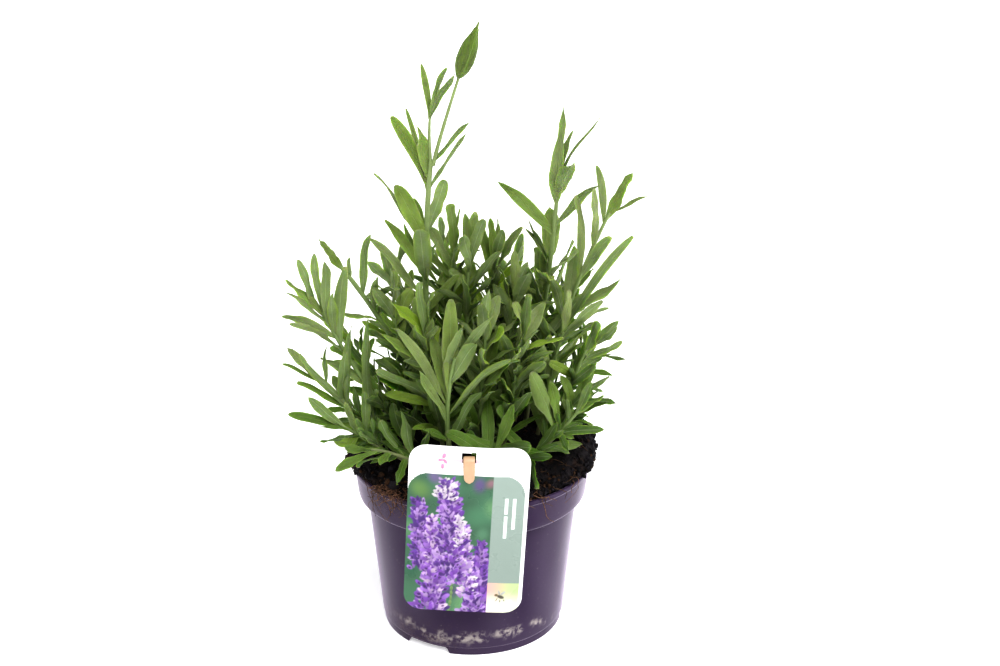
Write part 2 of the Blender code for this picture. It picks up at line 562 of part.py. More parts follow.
def union(name, parts, mat):
    """Join closed shapes that pass through each other into one body."""
    group = bpy.data.collections.new(name)
    bpy.context.scene.collection.children.link(group)
    pieces = []
    for i, rings in enumerate(parts):
        bm = bmesh.new()
        loft(bm, rings)
        piece = object_from_bmesh(bm, f"{name}_piece_{i}")
        pieces.append(piece)
        if i:
            bpy.context.scene.collection.objects.unlink(piece)
            group.objects.link(piece)
    body = pieces[0]
    mod = body.modifiers.new("join", "BOOLEAN")
    mod.operation = "UNION"
    mod.solver = "EXACT"
    mod.operand_type = "COLLECTION"
    mod.collection = group
    bpy.context.view_layer.update()
    depsgraph = bpy.context.evaluated_depsgraph_get()
    mesh = bpy.data.meshes.new_from_object(body.evaluated_get(depsgraph))
    for piece in pieces:
        bpy.data.objects.remove(piece)
    bpy.data.collections.remove(group)
    mesh.name = name
    mesh.materials.clear()
    mesh.materials.append(mat)
    obj = bpy.data.objects.new(name, mesh)
    bpy.context.scene.collection.objects.link(obj)
    return obj


def make_bud(mat):
    """Closed flower bud: a long oval wrapped in bracts, drawn out to a point."""
    base, tip = np.array(BUD_BASE), np.array(BUD_TIP)
    along = unit(tip - base)
    side = unit(np.cross(along, (0.0, 1.0, 0.0)))
    other = np.cross(along, side)
    rings = []
    for s, r in ((0.0, 0.28), (0.12, 0.78), (0.3, 1.0), (0.5, 0.88), (0.7, 0.55), (0.82, 0.22)):
        centre = base + s * (tip - base) + along * GAP
        ring = []
        for i in range(8):
            a = 2 * math.pi * i / 8
            ring.append(centre + BUD_RADIUS * r * (math.cos(a) * side + 0.8 * math.sin(a) * other))
        rings.append(ring)
    rings.append([tip])
    bm = bmesh.new()
    loft(bm, rings)
    return object_from_bmesh(bm, "flower_bud", mat)


def tree_of_object(obj):
    bpy.context.view_layer.update()
    return BVHTree.FromObject(obj, bpy.context.evaluated_depsgraph_get())


def main():
    clear_scene()
    foliage = make_material("foliage", (0.16, 0.30, 0.06), 0.55)
    pot = make_pot(make_material("pot_plastic", (0.060, 0.042, 0.105), 0.35))
    soil = make_soil(make_material("peat_soil", (0.020, 0.013, 0.010), 0.95))
    card = make_card(make_material("printed_card", (0.80, 0.80, 0.82), 0.30))
    peg = make_peg(make_material("peg_plastic", (0.60, 0.42, 0.28), 0.40))
    bud = make_bud(make_material("bud_green", (0.24, 0.36, 0.09), 0.60))
    taken = [(obj.name, tree_of_object(obj)) for obj in (pot, soil, card, peg, bud)]
    stems = {name: stem_rings(shoot["stem"], shoot["thick"]) for name, shoot in SHOOTS.items()}
    taken += [(SHOOTS[name].get("node", name), tree_of(rings)) for name, rings in stems.items()]
    leaves = grow_leaves(taken)
    nodes = {}
    for name, shoot in SHOOTS.items():
        nodes.setdefault(shoot.get("node", name), []).extend([stems[name], *leaves[name]])
    for name, parts in nodes.items():
        union(f"shoot_{name}", parts, foliage)


main()
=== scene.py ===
import bpy
import math
import numpy as np
from mathutils.bvhtree import BVHTree
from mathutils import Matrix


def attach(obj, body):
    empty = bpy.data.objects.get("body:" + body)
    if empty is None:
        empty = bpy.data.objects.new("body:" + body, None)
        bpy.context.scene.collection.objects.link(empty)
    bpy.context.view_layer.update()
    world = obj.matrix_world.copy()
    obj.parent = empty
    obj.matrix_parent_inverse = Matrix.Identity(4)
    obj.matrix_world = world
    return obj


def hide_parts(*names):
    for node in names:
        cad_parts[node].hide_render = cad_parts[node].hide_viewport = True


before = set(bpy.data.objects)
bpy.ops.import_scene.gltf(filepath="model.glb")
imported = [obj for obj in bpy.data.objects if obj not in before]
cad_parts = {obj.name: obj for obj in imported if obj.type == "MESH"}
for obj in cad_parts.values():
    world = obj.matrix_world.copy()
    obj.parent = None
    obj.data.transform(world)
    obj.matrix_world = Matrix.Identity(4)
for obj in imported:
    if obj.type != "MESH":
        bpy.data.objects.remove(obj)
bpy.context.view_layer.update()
print("frame loaded:", len(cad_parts), "nodes")

mm = 0.001                       # the tables are in millimetres
scene = bpy.context.scene
rng = np.random.default_rng(21)

# camera, floor and light

studio = dict(cameraPlace=(0.0153, -0.6941, 0.4158), cameraTilt=70.2, lens=50.0, worldStrength=0.24,
              floorSize=60.0, floorColour=(0.93, 0.93, 0.94), floorGlow=(0.30, 0.80), glowFrom=0.2, glowTo=2.5,
              sunStrength=1.9, sunSpread=38.0, sunTurn=(38, 0, 24))
softLights = dict(               # place, turn in degrees, side of the square and watts
    top_light=((0.0, -0.25, 1.5), (9, 0, 0), 1.4, 3.0),
    left_light=((-1.3, -0.2, 0.6), (0, -72, -8), 1.2, 6.0),
    right_light=((1.3, -0.2, 0.6), (0, 72, 8), 1.2, 11.0),
    front_light=((-0.5, -1.5, 1.0), (62, 0, -18), 0.9, 3.4))


def stand(name, data, place=(0, 0, 0), turn=(0, 0, 0)):
    # a new object at that place, turned by those degrees
    thing = bpy.data.objects.new(name, data)
    thing.location = place
    thing.rotation_euler = [math.radians(a) for a in turn]
    scene.collection.objects.link(thing)
    return thing


def fill(tree, node, inputs):
    # each named input is linked where it is given a socket, and set where it is given a value
    for key, value in inputs.items():
        socket = node.inputs[key.replace("_", " ") if isinstance(key, str) else key]
        if isinstance(value, bpy.types.NodeSocket):
            tree.links.new(value, socket)
        else:
            socket.default_value = (*value, 1) if socket.type == "RGBA" and len(value) == 3 else value
    return node


def addNode(tree, kind, **inputs):
    return fill(tree, tree.nodes.new("ShaderNode" + kind), inputs)


def newMaterial(name, roughness=0.5, **constants):
    mat = bpy.data.materials.new(name)
    mat.use_nodes = True
    shader = mat.node_tree.nodes["Principled BSDF"]
    return mat, mat.node_tree, fill(mat.node_tree, shader, dict(Roughness=roughness, **constants))


def makeCamera():
    data = bpy.data.cameras.new("camera")
    data.lens = studio["lens"]
    scene.camera = stand("camera", data, studio["cameraPlace"], (studio["cameraTilt"], 0, 0))


def makeLights():
    scene.view_settings.view_transform = "Standard"
    scene.view_settings.look = "High Contrast"
    scene.world = bpy.data.worlds.new("studio")
    scene.world.use_nodes = True
    tree = scene.world.node_tree
    # dim as a light, but plain white where the camera looks past the floor
    seen = addNode(tree, "LightPath").outputs["Is Camera Ray"]
    strength = addNode(tree, "MapRange", Value=seen, To_Min=studio["worldStrength"]).outputs[0]
    fill(tree, tree.nodes["Background"], dict(Color=(1.0, 1.0, 1.0), Strength=strength))
    for name, (place, turn, size, watts) in softLights.items():
        data = bpy.data.lights.new(name, "AREA")
        data.shape, data.size, data.size_y, data.energy = "RECTANGLE", size, size, watts
        stand(name, data, place, turn)
    data = bpy.data.lights.new("sun_light", "SUN")
    data.energy, data.angle = studio["sunStrength"], math.radians(studio["sunSpread"])
    stand("sun_light", data, turn=studio["sunTurn"])


def makeFloor():
    # pale paper that glows more the further it lies from the middle
    half = studio["floorSize"] / 2
    mesh = bpy.data.meshes.new("floor")
    corners = [(-half, -half, 0), (half, -half, 0), (half, half, 0), (-half, half, 0)]
    mesh.from_pydata(corners, [], [(0, 1, 2, 3)])
    paper, tree, shader = newMaterial("floor_paper", 0.8, Emission_Strength=1.0)
    away = tree.nodes.new("ShaderNodeVectorMath")
    away.operation = "LENGTH"
    fill(tree, away, {0: addNode(tree, "TexCoord").outputs["Object"]})
    dim, bright = studio["floorGlow"]
    glow = addNode(tree, "MapRange", Value=away.outputs["Value"], From_Min=studio["glowFrom"],
                   From_Max=studio["glowTo"], To_Min=dim, To_Max=bright)
    fill(tree, shader, dict(Base_Color=studio["floorColour"], Emission_Color=glow.outputs[0]))
    mesh.materials.append(paper)
    stand("floor", mesh)


makeCamera()
makeLights()
makeFloor()
print("studio ready")

# meshes from numpy grids


def gridFaces(rows, columns, closed=False):
    # quads between neighbouring rows; in a closed grid the last point of a row joins its first
    i, j = np.meshgrid(np.arange(rows - 1), np.arange(columns - (not closed)), indexing="ij")
    a, b = i * columns + j, i * columns + (j + 1) % columns
    return np.stack([a, b, b + columns, a + columns], -1).reshape(-1, 4)


def fanFaces(start, around, pole):
    j = start + np.arange(around)
    return np.stack([j, np.roll(j, -1), np.full(around, pole)], -1)


def closedTubes(rings, lowPole, highPole):
    # many tubes of one layout: rings is (tubes, rows, around, 3), each closed by a point at both ends
    count, rows, around = rings.shape[:3]
    size = rows * around + 2
    points = np.concatenate([rings.reshape(count, -1, 3), lowPole[:, None], highPole[:, None]], 1)
    low, high = fanFaces(0, around, size - 2)[:, ::-1], fanFaces((rows - 1) * around, around, size - 1)
    step = (np.arange(count) * size)[:, None, None]
    quads, ends = gridFaces(rows, around, True) + step, np.concatenate([low, high]) + step
    return points.reshape(-1, 3), quads.reshape(-1, 4), ends.reshape(-1, 3)


def turnsRound(around):
    # that many angles round a ring
    return 2 * np.pi * np.arange(around) / around


def joined(parts):
    # meshes given as (points, quads, triangles) become one, their faces renumbered
    starts = np.cumsum([0] + [len(part[0]) for part in parts])
    faces = [np.concatenate([part[k] + start for part, start in zip(parts, starts)]) for k in (1, 2)]
    return [np.concatenate([part[0] for part in parts])] + faces


def addColours(mesh, name, colours):
    layer = mesh.color_attributes.new(name, "FLOAT_COLOR", "POINT")
    layer.data.foreach_set("color", np.asarray(colours, np.float32).ravel())


def smoothEdges(mesh, sharp):
    mesh.shade_smooth()
    mesh.set_sharp_from_angle(angle=math.radians(sharp))


def meshPiece(name, points, quads, tris=None, mats=(), faceMats=None, colours=None, values=None, sharp=None):
    # points in millimetres and faces become an object at the origin; colours and values are point attributes
    groups = [f for f in (quads, tris) if f is not None and len(f)]
    sizes = np.concatenate([np.full(len(f), f.shape[1]) for f in groups])
    mesh = bpy.data.meshes.new(name)
    mesh.vertices.add(len(points))
    mesh.vertices.foreach_set("co", (points * mm).astype(np.float32).ravel())
    mesh.loops.add(int(sizes.sum()))
    mesh.loops.foreach_set("vertex_index", np.concatenate([f.ravel() for f in groups]).astype(np.int32))
    mesh.polygons.add(len(sizes))
    mesh.polygons.foreach_set("loop_start", (np.cumsum(sizes) - sizes).astype(np.int32))
    for key, data in (colours or {}).items():
        addColours(mesh, key, data)
    for key, data in (values or {}).items():
        layer = mesh.attributes.new(key, "FLOAT", "POINT")
        layer.data.foreach_set("value", np.asarray(data, np.float32))
    for mat in mats:
        mesh.materials.append(mat)
    if faceMats is not None:
        mesh.polygons.foreach_set("material_index", np.asarray(faceMats, np.int32))
    mesh.update(calc_edges=True)
    if sharp is not None:
        smoothEdges(mesh, sharp)
    return stand(name, mesh)


def applyModifiers(piece):
    # the evaluated mesh takes the place of the plain one, so that no modifier stays live
    made = bpy.data.meshes.new_from_object(piece.evaluated_get(bpy.context.evaluated_depsgraph_get()))
    piece.modifiers.clear()
    piece.data = made


def pointsOf(mesh):
    # the mesh's points in millimetres, as an array
    found = np.empty(len(mesh.vertices) * 3)
    mesh.vertices.foreach_get("co", found)
    return found.reshape(-1, 3) / mm


def unit(v):
    return v / np.maximum(np.linalg.norm(v, axis=-1, keepdims=True), 1e-9)


def smoothStep(x):
    x = np.clip(x, 0, 1)
    return x * x * (3 - 2 * x)


def hashGrid(cell, seed):
    # a fixed pseudo-random value from 0 to 1 for each whole-number cell
    n = cell[..., 0] * 374761393 + cell[..., 1] * 668265263 + cell[..., 2] * 2147483647 + seed * 144665
    n = (n ^ (n >> 13)) * 1274126177
    return ((n ^ (n >> 16)) & 0xFFFFFF) / float(0xFFFFFF)


def lumpNoise(points, size, seed=0):
    # smooth value noise, about -1 to 1, with lumps of that size in millimetres
    p = np.asarray(points, float) / size
    cell = np.floor(p).astype(np.int64)
    f = p - cell
    f = f * f * (3 - 2 * f)
    total = np.zeros(p.shape[:-1])
    for corner in np.ndindex(2, 2, 2):
        weight = np.prod(np.where(corner, f, 1 - f), -1)
        total += weight * hashGrid(cell + np.array(corner), seed)
    return total * 2 - 1

# shader helpers


def maths(tree, operation, a, b=0.0, clamp=False):
    node = tree.nodes.new("ShaderNodeMath")
    node.operation, node.use_clamp = operation, clamp
    return fill(tree, node, {0: a, 1: b}).outputs[0]


def times(tree, a, b, clamp=False):
    return maths(tree, "MULTIPLY", a, b, clamp)


def plus(tree, a, b, clamp=False):
    return maths(tree, "ADD", a, b, clamp)


def ramp(tree, value, low, high, lowOut=0.0, highOut=1.0):
    node = addNode(tree, "MapRange", Value=value, From_Min=low, From_Max=high, To_Min=lowOut, To_Max=highOut)
    node.interpolation_type = "SMOOTHSTEP"
    return node.outputs[0]


def mixColour(tree, share, a, b, blend="MIX"):
    node = tree.nodes.new("ShaderNodeMix")
    node.data_type, node.blend_type = "RGBA", blend
    return fill(tree, node, {0: share, 6: a, 7: b}).outputs[2]


def noise(tree, place, scale, detail=4.0, rough=0.55):
    return addNode(tree, "TexNoise", Vector=place, Scale=scale, Detail=detail, Roughness=rough).outputs["Fac"]


def stretched(tree, place, scale):
    return addNode(tree, "Mapping", Vector=place, Scale=scale).outputs[0]


def objectPlace(tree):
    return addNode(tree, "TexCoord").outputs["Object"]


def attribute(tree, name):
    node = addNode(tree, "Attribute")
    node.attribute_name = name
    return node.outputs


def channels(tree, colour):
    return addNode(tree, "SeparateColor", Color=colour).outputs


def finish(tree, shader, colour, height, strength, distance, **others):
    # the shader's colour, its bump from a height, and any other input
    bump = addNode(tree, "Bump", Height=height, Strength=strength, Distance=distance).outputs["Normal"]
    fill(tree, shader, dict(Base_Color=colour, Normal=bump, **others))


def useGroup(tree, group, **inputs):
    node = tree.nodes.new("ShaderNodeGroup")
    node.node_tree = group
    return fill(tree, node, inputs).outputs


def makeMottleGroup():
    # two sizes of noise that lighten and darken a colour, and a fine height for a bump
    group = bpy.data.node_groups.new("mottle", "ShaderNodeTree")
    for label, kind, value in (("Colour", "Color", (0.5, 0.5, 0.5, 1)), ("Coarse", "Float", 60.0),
                               ("Fine", "Float", 700.0), ("Amount", "Float", 0.25)):
        socket = group.interface.new_socket(label, in_out="INPUT", socket_type="NodeSocket" + kind)
        socket.default_value = value
    for label, kind in (("Colour", "Color"), ("Height", "Float")):
        group.interface.new_socket(label, in_out="OUTPUT", socket_type="NodeSocket" + kind)
    given, made = group.nodes.new("NodeGroupInput").outputs, group.nodes.new("NodeGroupOutput")
    place = objectPlace(group)
    coarse, fine = noise(group, place, given["Coarse"], 3), noise(group, place, given["Fine"], 2)
    both = plus(group, times(group, coarse, 0.7), times(group, fine, 0.3))
    swing = times(group, maths(group, "SUBTRACT", both, 0.5), given["Amount"])
    value = plus(group, 1.0, times(group, swing, 2.0))
    tone = addNode(group, "HueSaturation", Color=given["Colour"], Value=value).outputs["Color"]
    fill(group, made, dict(Colour=tone, Height=fine))
    return group


mottle = makeMottleGroup()

# old and young colours: darker deep in the plant, lighter high and outside; partly age, partly painted shade
# and painted light
leafColours = dict(oldShaded=((0.032, 0.094, 0.002), (0.070, 0.138, 0.006)), fresh=(0.205, 0.300, 0.014),
                   youngLit=((0.170, 0.226, 0.056), (0.212, 0.242, 0.124)), foot=(0.215, 0.290, 0.095),
                   under=((0.072, 0.126, 0.030), (0.190, 0.242, 0.105)), rib=(0.26, 0.34, 0.13),
                   underRib=(0.32, 0.38, 0.22), edge=(0.24, 0.28, 0.16), tip=(0.17, 0.15, 0.12))
stemColours = dict(low=(0.16, 0.225, 0.075), high=(0.20, 0.26, 0.10), woody=(0.12, 0.115, 0.055))


def makeLeafMaterial():
    # green above with a shallow midrib groove, downy grey-green below, paler and yellower in young leaves,
    # each leaf a little bluer or yellower than the next, with a brownish grey tip; the age mix is also painted
    # light and shade: leaves high and outside in the plant painted lighter, those deep inside painted darker
    mat, tree, shader = newMaterial("leaf", Sheen_Weight=0.035, Sheen_Roughness=0.5, Specular_IOR_Level=0.15,
                                    Subsurface_Weight=0.45, Subsurface_Scale=0.0016,
                                    Subsurface_Radius=(0.55, 1.0, 0.12))
    c = leafColours
    blade = attribute(tree, "blade")
    along, across, under = channels(tree, blade["Color"])
    luck, youth_and_shade = blade["Alpha"], attribute(tree, "youth_and_shade")["Fac"]
    offRib = maths(tree, "ABSOLUTE", maths(tree, "SUBTRACT", across, 0.5))
    # mixing by age also gives painted shade deep in the plant and painted light on the high outer leaves
    green = mixColour(tree, youth_and_shade, mixColour(tree, luck, *c["oldShaded"]), mixColour(tree, luck, *c["youngLit"]))
    fresh = times(tree, ramp(tree, luck, 0.84, 0.90), times(tree, youth_and_shade, 0.75))
    rib = ramp(tree, offRib, 0.010, 0.05, 1.0, 0.0)
    foot, edge = ramp(tree, along, 0.0, 0.3, 0.45, 0.0), ramp(tree, offRib, 0.40, 0.5, 0.0, 0.22)
    shares = dict(fresh=fresh, foot=foot, rib=times(tree, rib, 0.26), edge=edge)
    for name, share in shares.items():
        green = mixColour(tree, share, green, c[name])
    grey = mixColour(tree, times(tree, rib, 0.45), mixColour(tree, youth_and_shade, *c["under"]), c["underRib"])
    sided = mixColour(tree, under, green, grey)
    sided = mixColour(tree, ramp(tree, along, 0.93, 1.0, 0.0, 0.45), sided, c["tip"])
    tinted = useGroup(tree, mottle, Colour=sided, Coarse=110.0, Fine=1500.0, Amount=0.45)
    veins = noise(tree, stretched(tree, blade["Color"], (9.0, 5.0, 0.0)), 3.0, 3, 0.6)
    height = plus(tree, times(tree, rib, -0.8), times(tree, veins, 0.9))
    height = plus(tree, height, times(tree, tinted["Height"], 0.5))
    rough = ramp(tree, under, 0.0, 1.0, 0.46, 0.75)
    finish(tree, shader, tinted["Colour"], height, 0.55, 0.0005, Roughness=rough)
    return mat


def makeStemMaterial():
    # pale green and ribbed above, browner and woody near the soil
    mat, tree, shader = newMaterial("stem", 0.6, Sheen_Weight=0.06)
    place = objectPlace(tree)
    high = addNode(tree, "SeparateXYZ", Vector=place).outputs["Z"]
    green = mixColour(tree, ramp(tree, high, 0.16, 0.26), stemColours["low"], stemColours["high"])
    woody = mixColour(tree, ramp(tree, high, 0.105, 0.135), stemColours["woody"], green)
    tinted = useGroup(tree, mottle, Colour=woody, Coarse=150.0, Fine=1200.0, Amount=0.4)
    ribs = noise(tree, stretched(tree, place, (1, 1, 0.12)), 900.0, 2)
    finish(tree, shader, tinted["Colour"], ribs, 0.35, 0.0003)
    return mat


leafMaterial = makeLeafMaterial()
stemMaterial = makeStemMaterial()
print("plant materials ready")

# the plant

rootZ = 107.3                    # the stems stand on the soil at this height

# Every shoot: its stem as root, elbow and tip, its thickness, its crossing leaf pairs as (count, first and
# last place along the stem, length, width, turn about the stem), and its placed leaves as (place along the
# stem, tip x, y, z, width, roll about the leaf's own line).
shoots = {
    "tall_left": (((-20, 5, rootZ), (-28, 7, 185), (-20, 2, 258)), 3.6, (4, 0.12, 0.52, 44, 7.5, 20), ((0.9,
        -40, 5, 281, 7.5, 80), (0.93, -27, -2, 278, 8.5, 70), (0.86, -33, 12, 284, 3.5, 30), (0.99, 0, 9,
        277, 4, 75), (0.9, -1, -1, 274, 4, 40), (0.68, -39, 6, 245, 10, 70), (0.7, -51, 16, 249, 4, 20),
        (0.72, -13, 9, 247, 9.5, 85), (0.56, -25, -22, 229, 11, 0), (0.58, -45, 8, 226, 6.5, 60), (0.7, -30,
        14, 236, 5, 0), (0.5, -52, -6, 220, 6.5, 60))),
    "tall_left_fork": (((-20, 2, 256), (-21, 1, 270), (-20, 0, 281)), 1.8, None, ((0.96, -24, 1, 308, 4,
        60), (0.98, -11, 0, 306, 5, 70), (1, -7, -5, 304, 4.5, 60))),
    "flower_stalk": (((-19, 2, 256), (-15, 0, 272), (-5.2, -3, 301.6)), 2, None, ()),
    "tall_right": (((28, 9, rootZ), (43, 16, 190), (45, 5, 245)), 2.8, (4, 0.12, 0.56, 44, 8, 60), ((0.9,
        47, 3, 288, 9.5, 45), (0.95, 53, -7, 259, 10.5, 20), (1, 53, 10, 273, 5, 15), (1, 68, 12, 281, 2.4,
        -5), (0.76, 14, 5, 247, 7.5, 80), (0.8, 67, 5, 245, 6.5, 70), (0.66, 42, 22, 229, 12, 0), (0.62, 29,
        22, 217, 3.5, 0), (0.55, 37, -11, 203, 12, 0))),
    "right_arch": (((36, 12, rootZ), (45, 9, 172), (72, 5, 230)), 2.6, (3, 0.15, 0.5, 42, 7.5, 45), ((0.97,
        84, 8, 251, 9, 25), (1, 92, 5, 239, 3, -30), (0.95, 65, 8, 255, 5, 70), (0.84, 63, -5, 246, 7, 75),
        (0.7, 54, 1, 241, 6, 75), (0.68, 73, 0, 219, 7, 70), (0.4, 84, -8, 222, 5.5, 75), (0.52, 55, 18,
        209, 8.5, 40))),
    "right_mid": (((35, -3, rootZ), (40, -3, 140), (49, -5, 168)), 2.3, (3, 0.2, 0.75, 36, 7, 0), ((1, 69,
        -6, 186, 6.5, 70), (0.95, 73, 0, 180, 5, 80), (0.9, 62, -12, 172, 5, 40), (0.98, 51, -6, 192, 6.5,
        60))),
    "right_upright": (((42, -8, rootZ), (50, -6, 132), (61, -5, 158)), 2.2, (2, 0.25, 0.6, 32, 6.5, 10),
        ((0.95, 67, -8, 175, 8.5, 35), (0.85, 80, -5, 163, 6, 60), (0.75, 70, 0, 152, 4.5, 85), (0.7, 41,
        -12, 154, 6.5, 70), (0.6, 52, -15, 152, 5.5, 5))),
    "right_low": (((39, -17, rootZ), (46, -17, 122), (56, -15, 134)), 2, (3, 0.24, 0.8, 28, 6, 70), ((0.95,
        73, -12, 146, 5.5, 60), (0.95, 77, -19, 133, 6, 60), (0.9, 65, -5, 146, 4.5, 40), (0.85, 47, -10,
        147, 6.5, 60), (0.7, 62, -20, 126, 4.5, 40), (0.05, 31, -22, 141, 8, 80), (0.25, 54, -26, 120, 6,
        40), (0.45, 61, -24, 129, 6, 50))),
    "front_right": (((24, -36, rootZ), (42, -34, 116), (60, -26, 137)), 2, (3, 0.29, 0.85, 26, 6.5, 30),
        ((0.55, 31, -31, 156, 11, 55), (0.6, 51, -40, 114, 5.5, 55), (0.62, 41, -28, 150, 8, 60), (0.05, -7,
        -50, 129, 7.5, 50), (0.15, 14, -42, 132, 6, 60), (0.15, 34, -59, 103, 9, 25), (0.1, 42, -46, 115,
        5.5, 30))),
    "front_centre": (((-9, -40, rootZ), (-15, -42, 140), (-7, -43, 168)), 2.8, None, ((0.62, -9, -38, 198,
        10, 0), (0.66, -3, -46, 187, 9.5, 20), (0.9, 12, -45, 191, 6, 70), (0.75, 4, -52, 179, 9, 60),
        (0.55, -36, -48, 186, 6, 75), (0.45, 21, -42, 167, 5.5, 70), (0.6, -20, -30, 175, 8, 30), (0.35,
        -25, -50, 164, 6.5, 60), (0.22, 6, -44, 150, 8, 50), (0.22, -24, -50, 132, 5.5, 40))),
    "left_arch": (((-27, -10, rootZ), (-55, -24, 140), (-76, -18, 184)), 2.6, (3, 0.14, 0.5, 32, 7, 0),
        ((0.98, -94, -20, 202, 7, 60), (0.93, -94, -26, 197, 5, 60), (0.95, -88, -14, 211, 6.5, 70), (1,
        -80, -10, 213, 6, 70), (0.92, -73, -25, 213, 6.5, 70), (0.8, -63, -19, 209, 8, 80), (0.84, -97, -20,
        182, 6.5, 60), (0.74, -92, -28, 181, 5.5, 40), (0.86, -69, -30, 198, 6.5, 60))),
    "left_branch": (((-15, 2, rootZ), (-36, 0, 160), (-68, 0, 203)), 3.4, (3, 0.2, 0.62, 34, 7.5, 30),
        ((0.98, -79, 2, 217, 7.5, 50), (0.82, -52, 5, 219, 6, 70), (0.95, -74, 6, 211, 3, 30), (0.92, -63,
        1, 208, 3, 60), (0.8, -36, -12, 194, 7.5, 60), (0.72, -49, -8, 198, 5, 60))),
    "left_low": (((-28, -20, rootZ), (-58, -26, 124), (-76, -25, 146)), 2.2, (3, 0.24, 0.62, 28, 7, 60),
        ((0.95, -94, -25, 167, 6.5, 20), (1, -98, -20, 156, 2.5, 40), (0.55, -87, -31, 166, 4.5, 40), (0.97,
        -74, -19, 166, 4, 50), (0.7, -61, -19, 177, 5.5, 70), (0.75, -63, -28, 166, 6.5, 60), (0.42, -53,
        -14, 180, 6.5, 70), (0.66, -90, -26, 148, 4.5, 40), (0.1, -40, -27, 137, 7.5, 80), (0.06, -28, -30,
        137, 5.5, 80), (0.35, -52, -20, 135, 6, 70), (0.5, -63, -36, 132, 5.5, 20))),
    "left_bottom": (((-24, -37, rootZ), (-48, -43, 119), (-68, -39, 131)), 2.1, (3, 0.29, 0.7, 26, 6.5, 45),
        ((0.92, -83, -36, 144, 6.5, 60), (0.85, -94, -35, 134, 5.5, 60), (0.8, -77, -42, 130, 4, 40), (0.6,
        -55, -28, 144, 6, 70), (0.7, -64, -44, 118, 5.5, 40), (0.15, -45, -30, 127, 6.5, 70))),
    "front_left": (((-18, -43, rootZ), (-34, -49, 119), (-50, -50, 121)), 2, None, ((0.9, -68, -57, 112,
        6.5, 50), (0.95, -64, -46, 120, 5.5, 40), (0.45, -37, -56, 104, 7, 30), (0.5, -46, -40, 133, 6.5,
        60), (0.2, -20, -53, 133, 5.5, 60), (0.7, -45, -58, 116, 6, 60), (0.3, -36, -36, 138, 7.5, 75),
        (0.12, -46, -38, 122, 6.5, 30))),
    "centre_a": (((-7, 12, rootZ), (-12, 16, 160), (-10, 15, 206)), 2.4, (7, 0.04, 0.9, 42, 8, 25), ((0.97,
        -11, 14, 233, 9, 60), (0.97, -6, 19, 229, 3, 5))),
    "centre_b": (((0, 4, rootZ), (-4, 8, 160), (-1, 8, 204)), 2.4, (7, 0.07, 0.92, 40, 8, 70), ((0.98, -3,
        10, 229, 6.5, 60), (0.96, 7, 5, 227, 7.5, 60))),
    "centre_c": (((7, 16, rootZ), (12, 18, 155), (12, 16, 200)), 2.4, (7, 0.07, 0.92, 38, 8, 10), ((0.98,
        10, 15, 225, 6.5, 60), (0.98, 14, 24, 222, 4.5, 30), (0.94, 17, 6, 221, 7, 60))),
    "centre_d": (((14, 2, rootZ), (20, 4, 150), (23, 4, 186)), 2.3, (6, 0.07, 0.9, 38, 8, 50), ((0.98, 23,
        5, 210, 6.5, 60), (0.98, 30, 4, 204, 5.5, 60))),
    "front_low": (((4, -42, rootZ), (8, -47, 114), (14, -49, 121)), 2, None, ((0.5, -12, -52, 133, 8.5, 30),
        (0.9, 31, -57, 125, 9, 65), (0.8, 41, -52, 119, 6, -10), (0.95, 22, -40, 142, 7, 60), (0.4, 9, -36,
        140, 8, 30), (0.15, -1, -44, 128, 7, 60))),
    "inner_front_a": (((-14, -22, rootZ), (-20, -28, 145), (-24, -28, 178)), 2.3, (7, 0.07, 0.95, 38, 8,
        15), ((0.97, -25, -27, 203, 7.5, 75), (0.35, -44, -36, 146, 6, 60), (0.05, -17, -30, 145, 7, 80),
        (0.05, -26, -26, 140, 6.5, 70))),
    "inner_front_b": (((2, -24, rootZ), (6, -30, 140), (8, -30, 176)), 2.3, (7, 0.07, 0.95, 38, 8, 60),
        ((0.97, 10, -30, 200, 7.5, 60), (0.03, -4, -31, 145, 8.5, 80), (0.05, 6, -30, 140, 7.5, 70))),
    "inner_front_c": (((16, -20, rootZ), (22, -24, 140), (27, -22, 170)), 2.3, (7, 0.07, 0.95, 36, 8, 30),
        ((0.97, 30, -22, 195, 7.5, 5), (0.03, 26, -30, 141, 9, 80), (0.12, 14, -34, 142, 6.5, 90))),
    "inner_left": (((-24, -2, rootZ), (-36, -6, 140), (-40, -6, 176)), 2.3, (6, 0.12, 0.95, 36, 7.5, 70),
        ((0.97, -40, -6, 201, 7, 45),)),
    "inner_right": (((22, 14, rootZ), (34, 20, 150), (38, 18, 186)), 2.3, (6, 0.12, 0.95, 38, 8, 20),
        ((0.97, 40, 18, 210, 7, 45),)),
    "back_a": (((-20, 22, rootZ), (-34, 38, 145), (-44, 46, 178)), 2.3, (7, 0.12, 0.95, 38, 7.5, 10),
        ((0.97, -50, 50, 200, 7, 45),)),
    "back_b": (((-6, 28, rootZ), (-12, 44, 150), (-16, 54, 190)), 2.3, (7, 0.12, 0.95, 38, 7.5, 50), ((0.97,
        -18, 58, 214, 7, 45),)),
    "back_c": (((10, 28, rootZ), (18, 46, 145), (24, 56, 180)), 2.3, (7, 0.12, 0.95, 38, 7.5, 80), ((0.97,
        28, 60, 204, 7, 45),)),
    "back_d": (((24, 24, rootZ), (38, 38, 140), (50, 44, 168)), 2.3, (6, 0.12, 0.95, 36, 7.5, 35), ((0.97,
        58, 48, 190, 7, 90),)),
    "back_low_left": (((-30, 12, rootZ), (-50, 24, 124), (-68, 32, 148)), 2.1, (4, 0.29, 0.95, 32, 7, 20),
        ((0.97, -84, 38, 162, 6.5, 45),)),
    "back_low_mid": (((2, 34, rootZ), (4, 54, 120), (6, 68, 142)), 2.1, (4, 0.29, 0.95, 32, 7, 70), ((0.97,
        8, 82, 158, 6.5, 45),)),
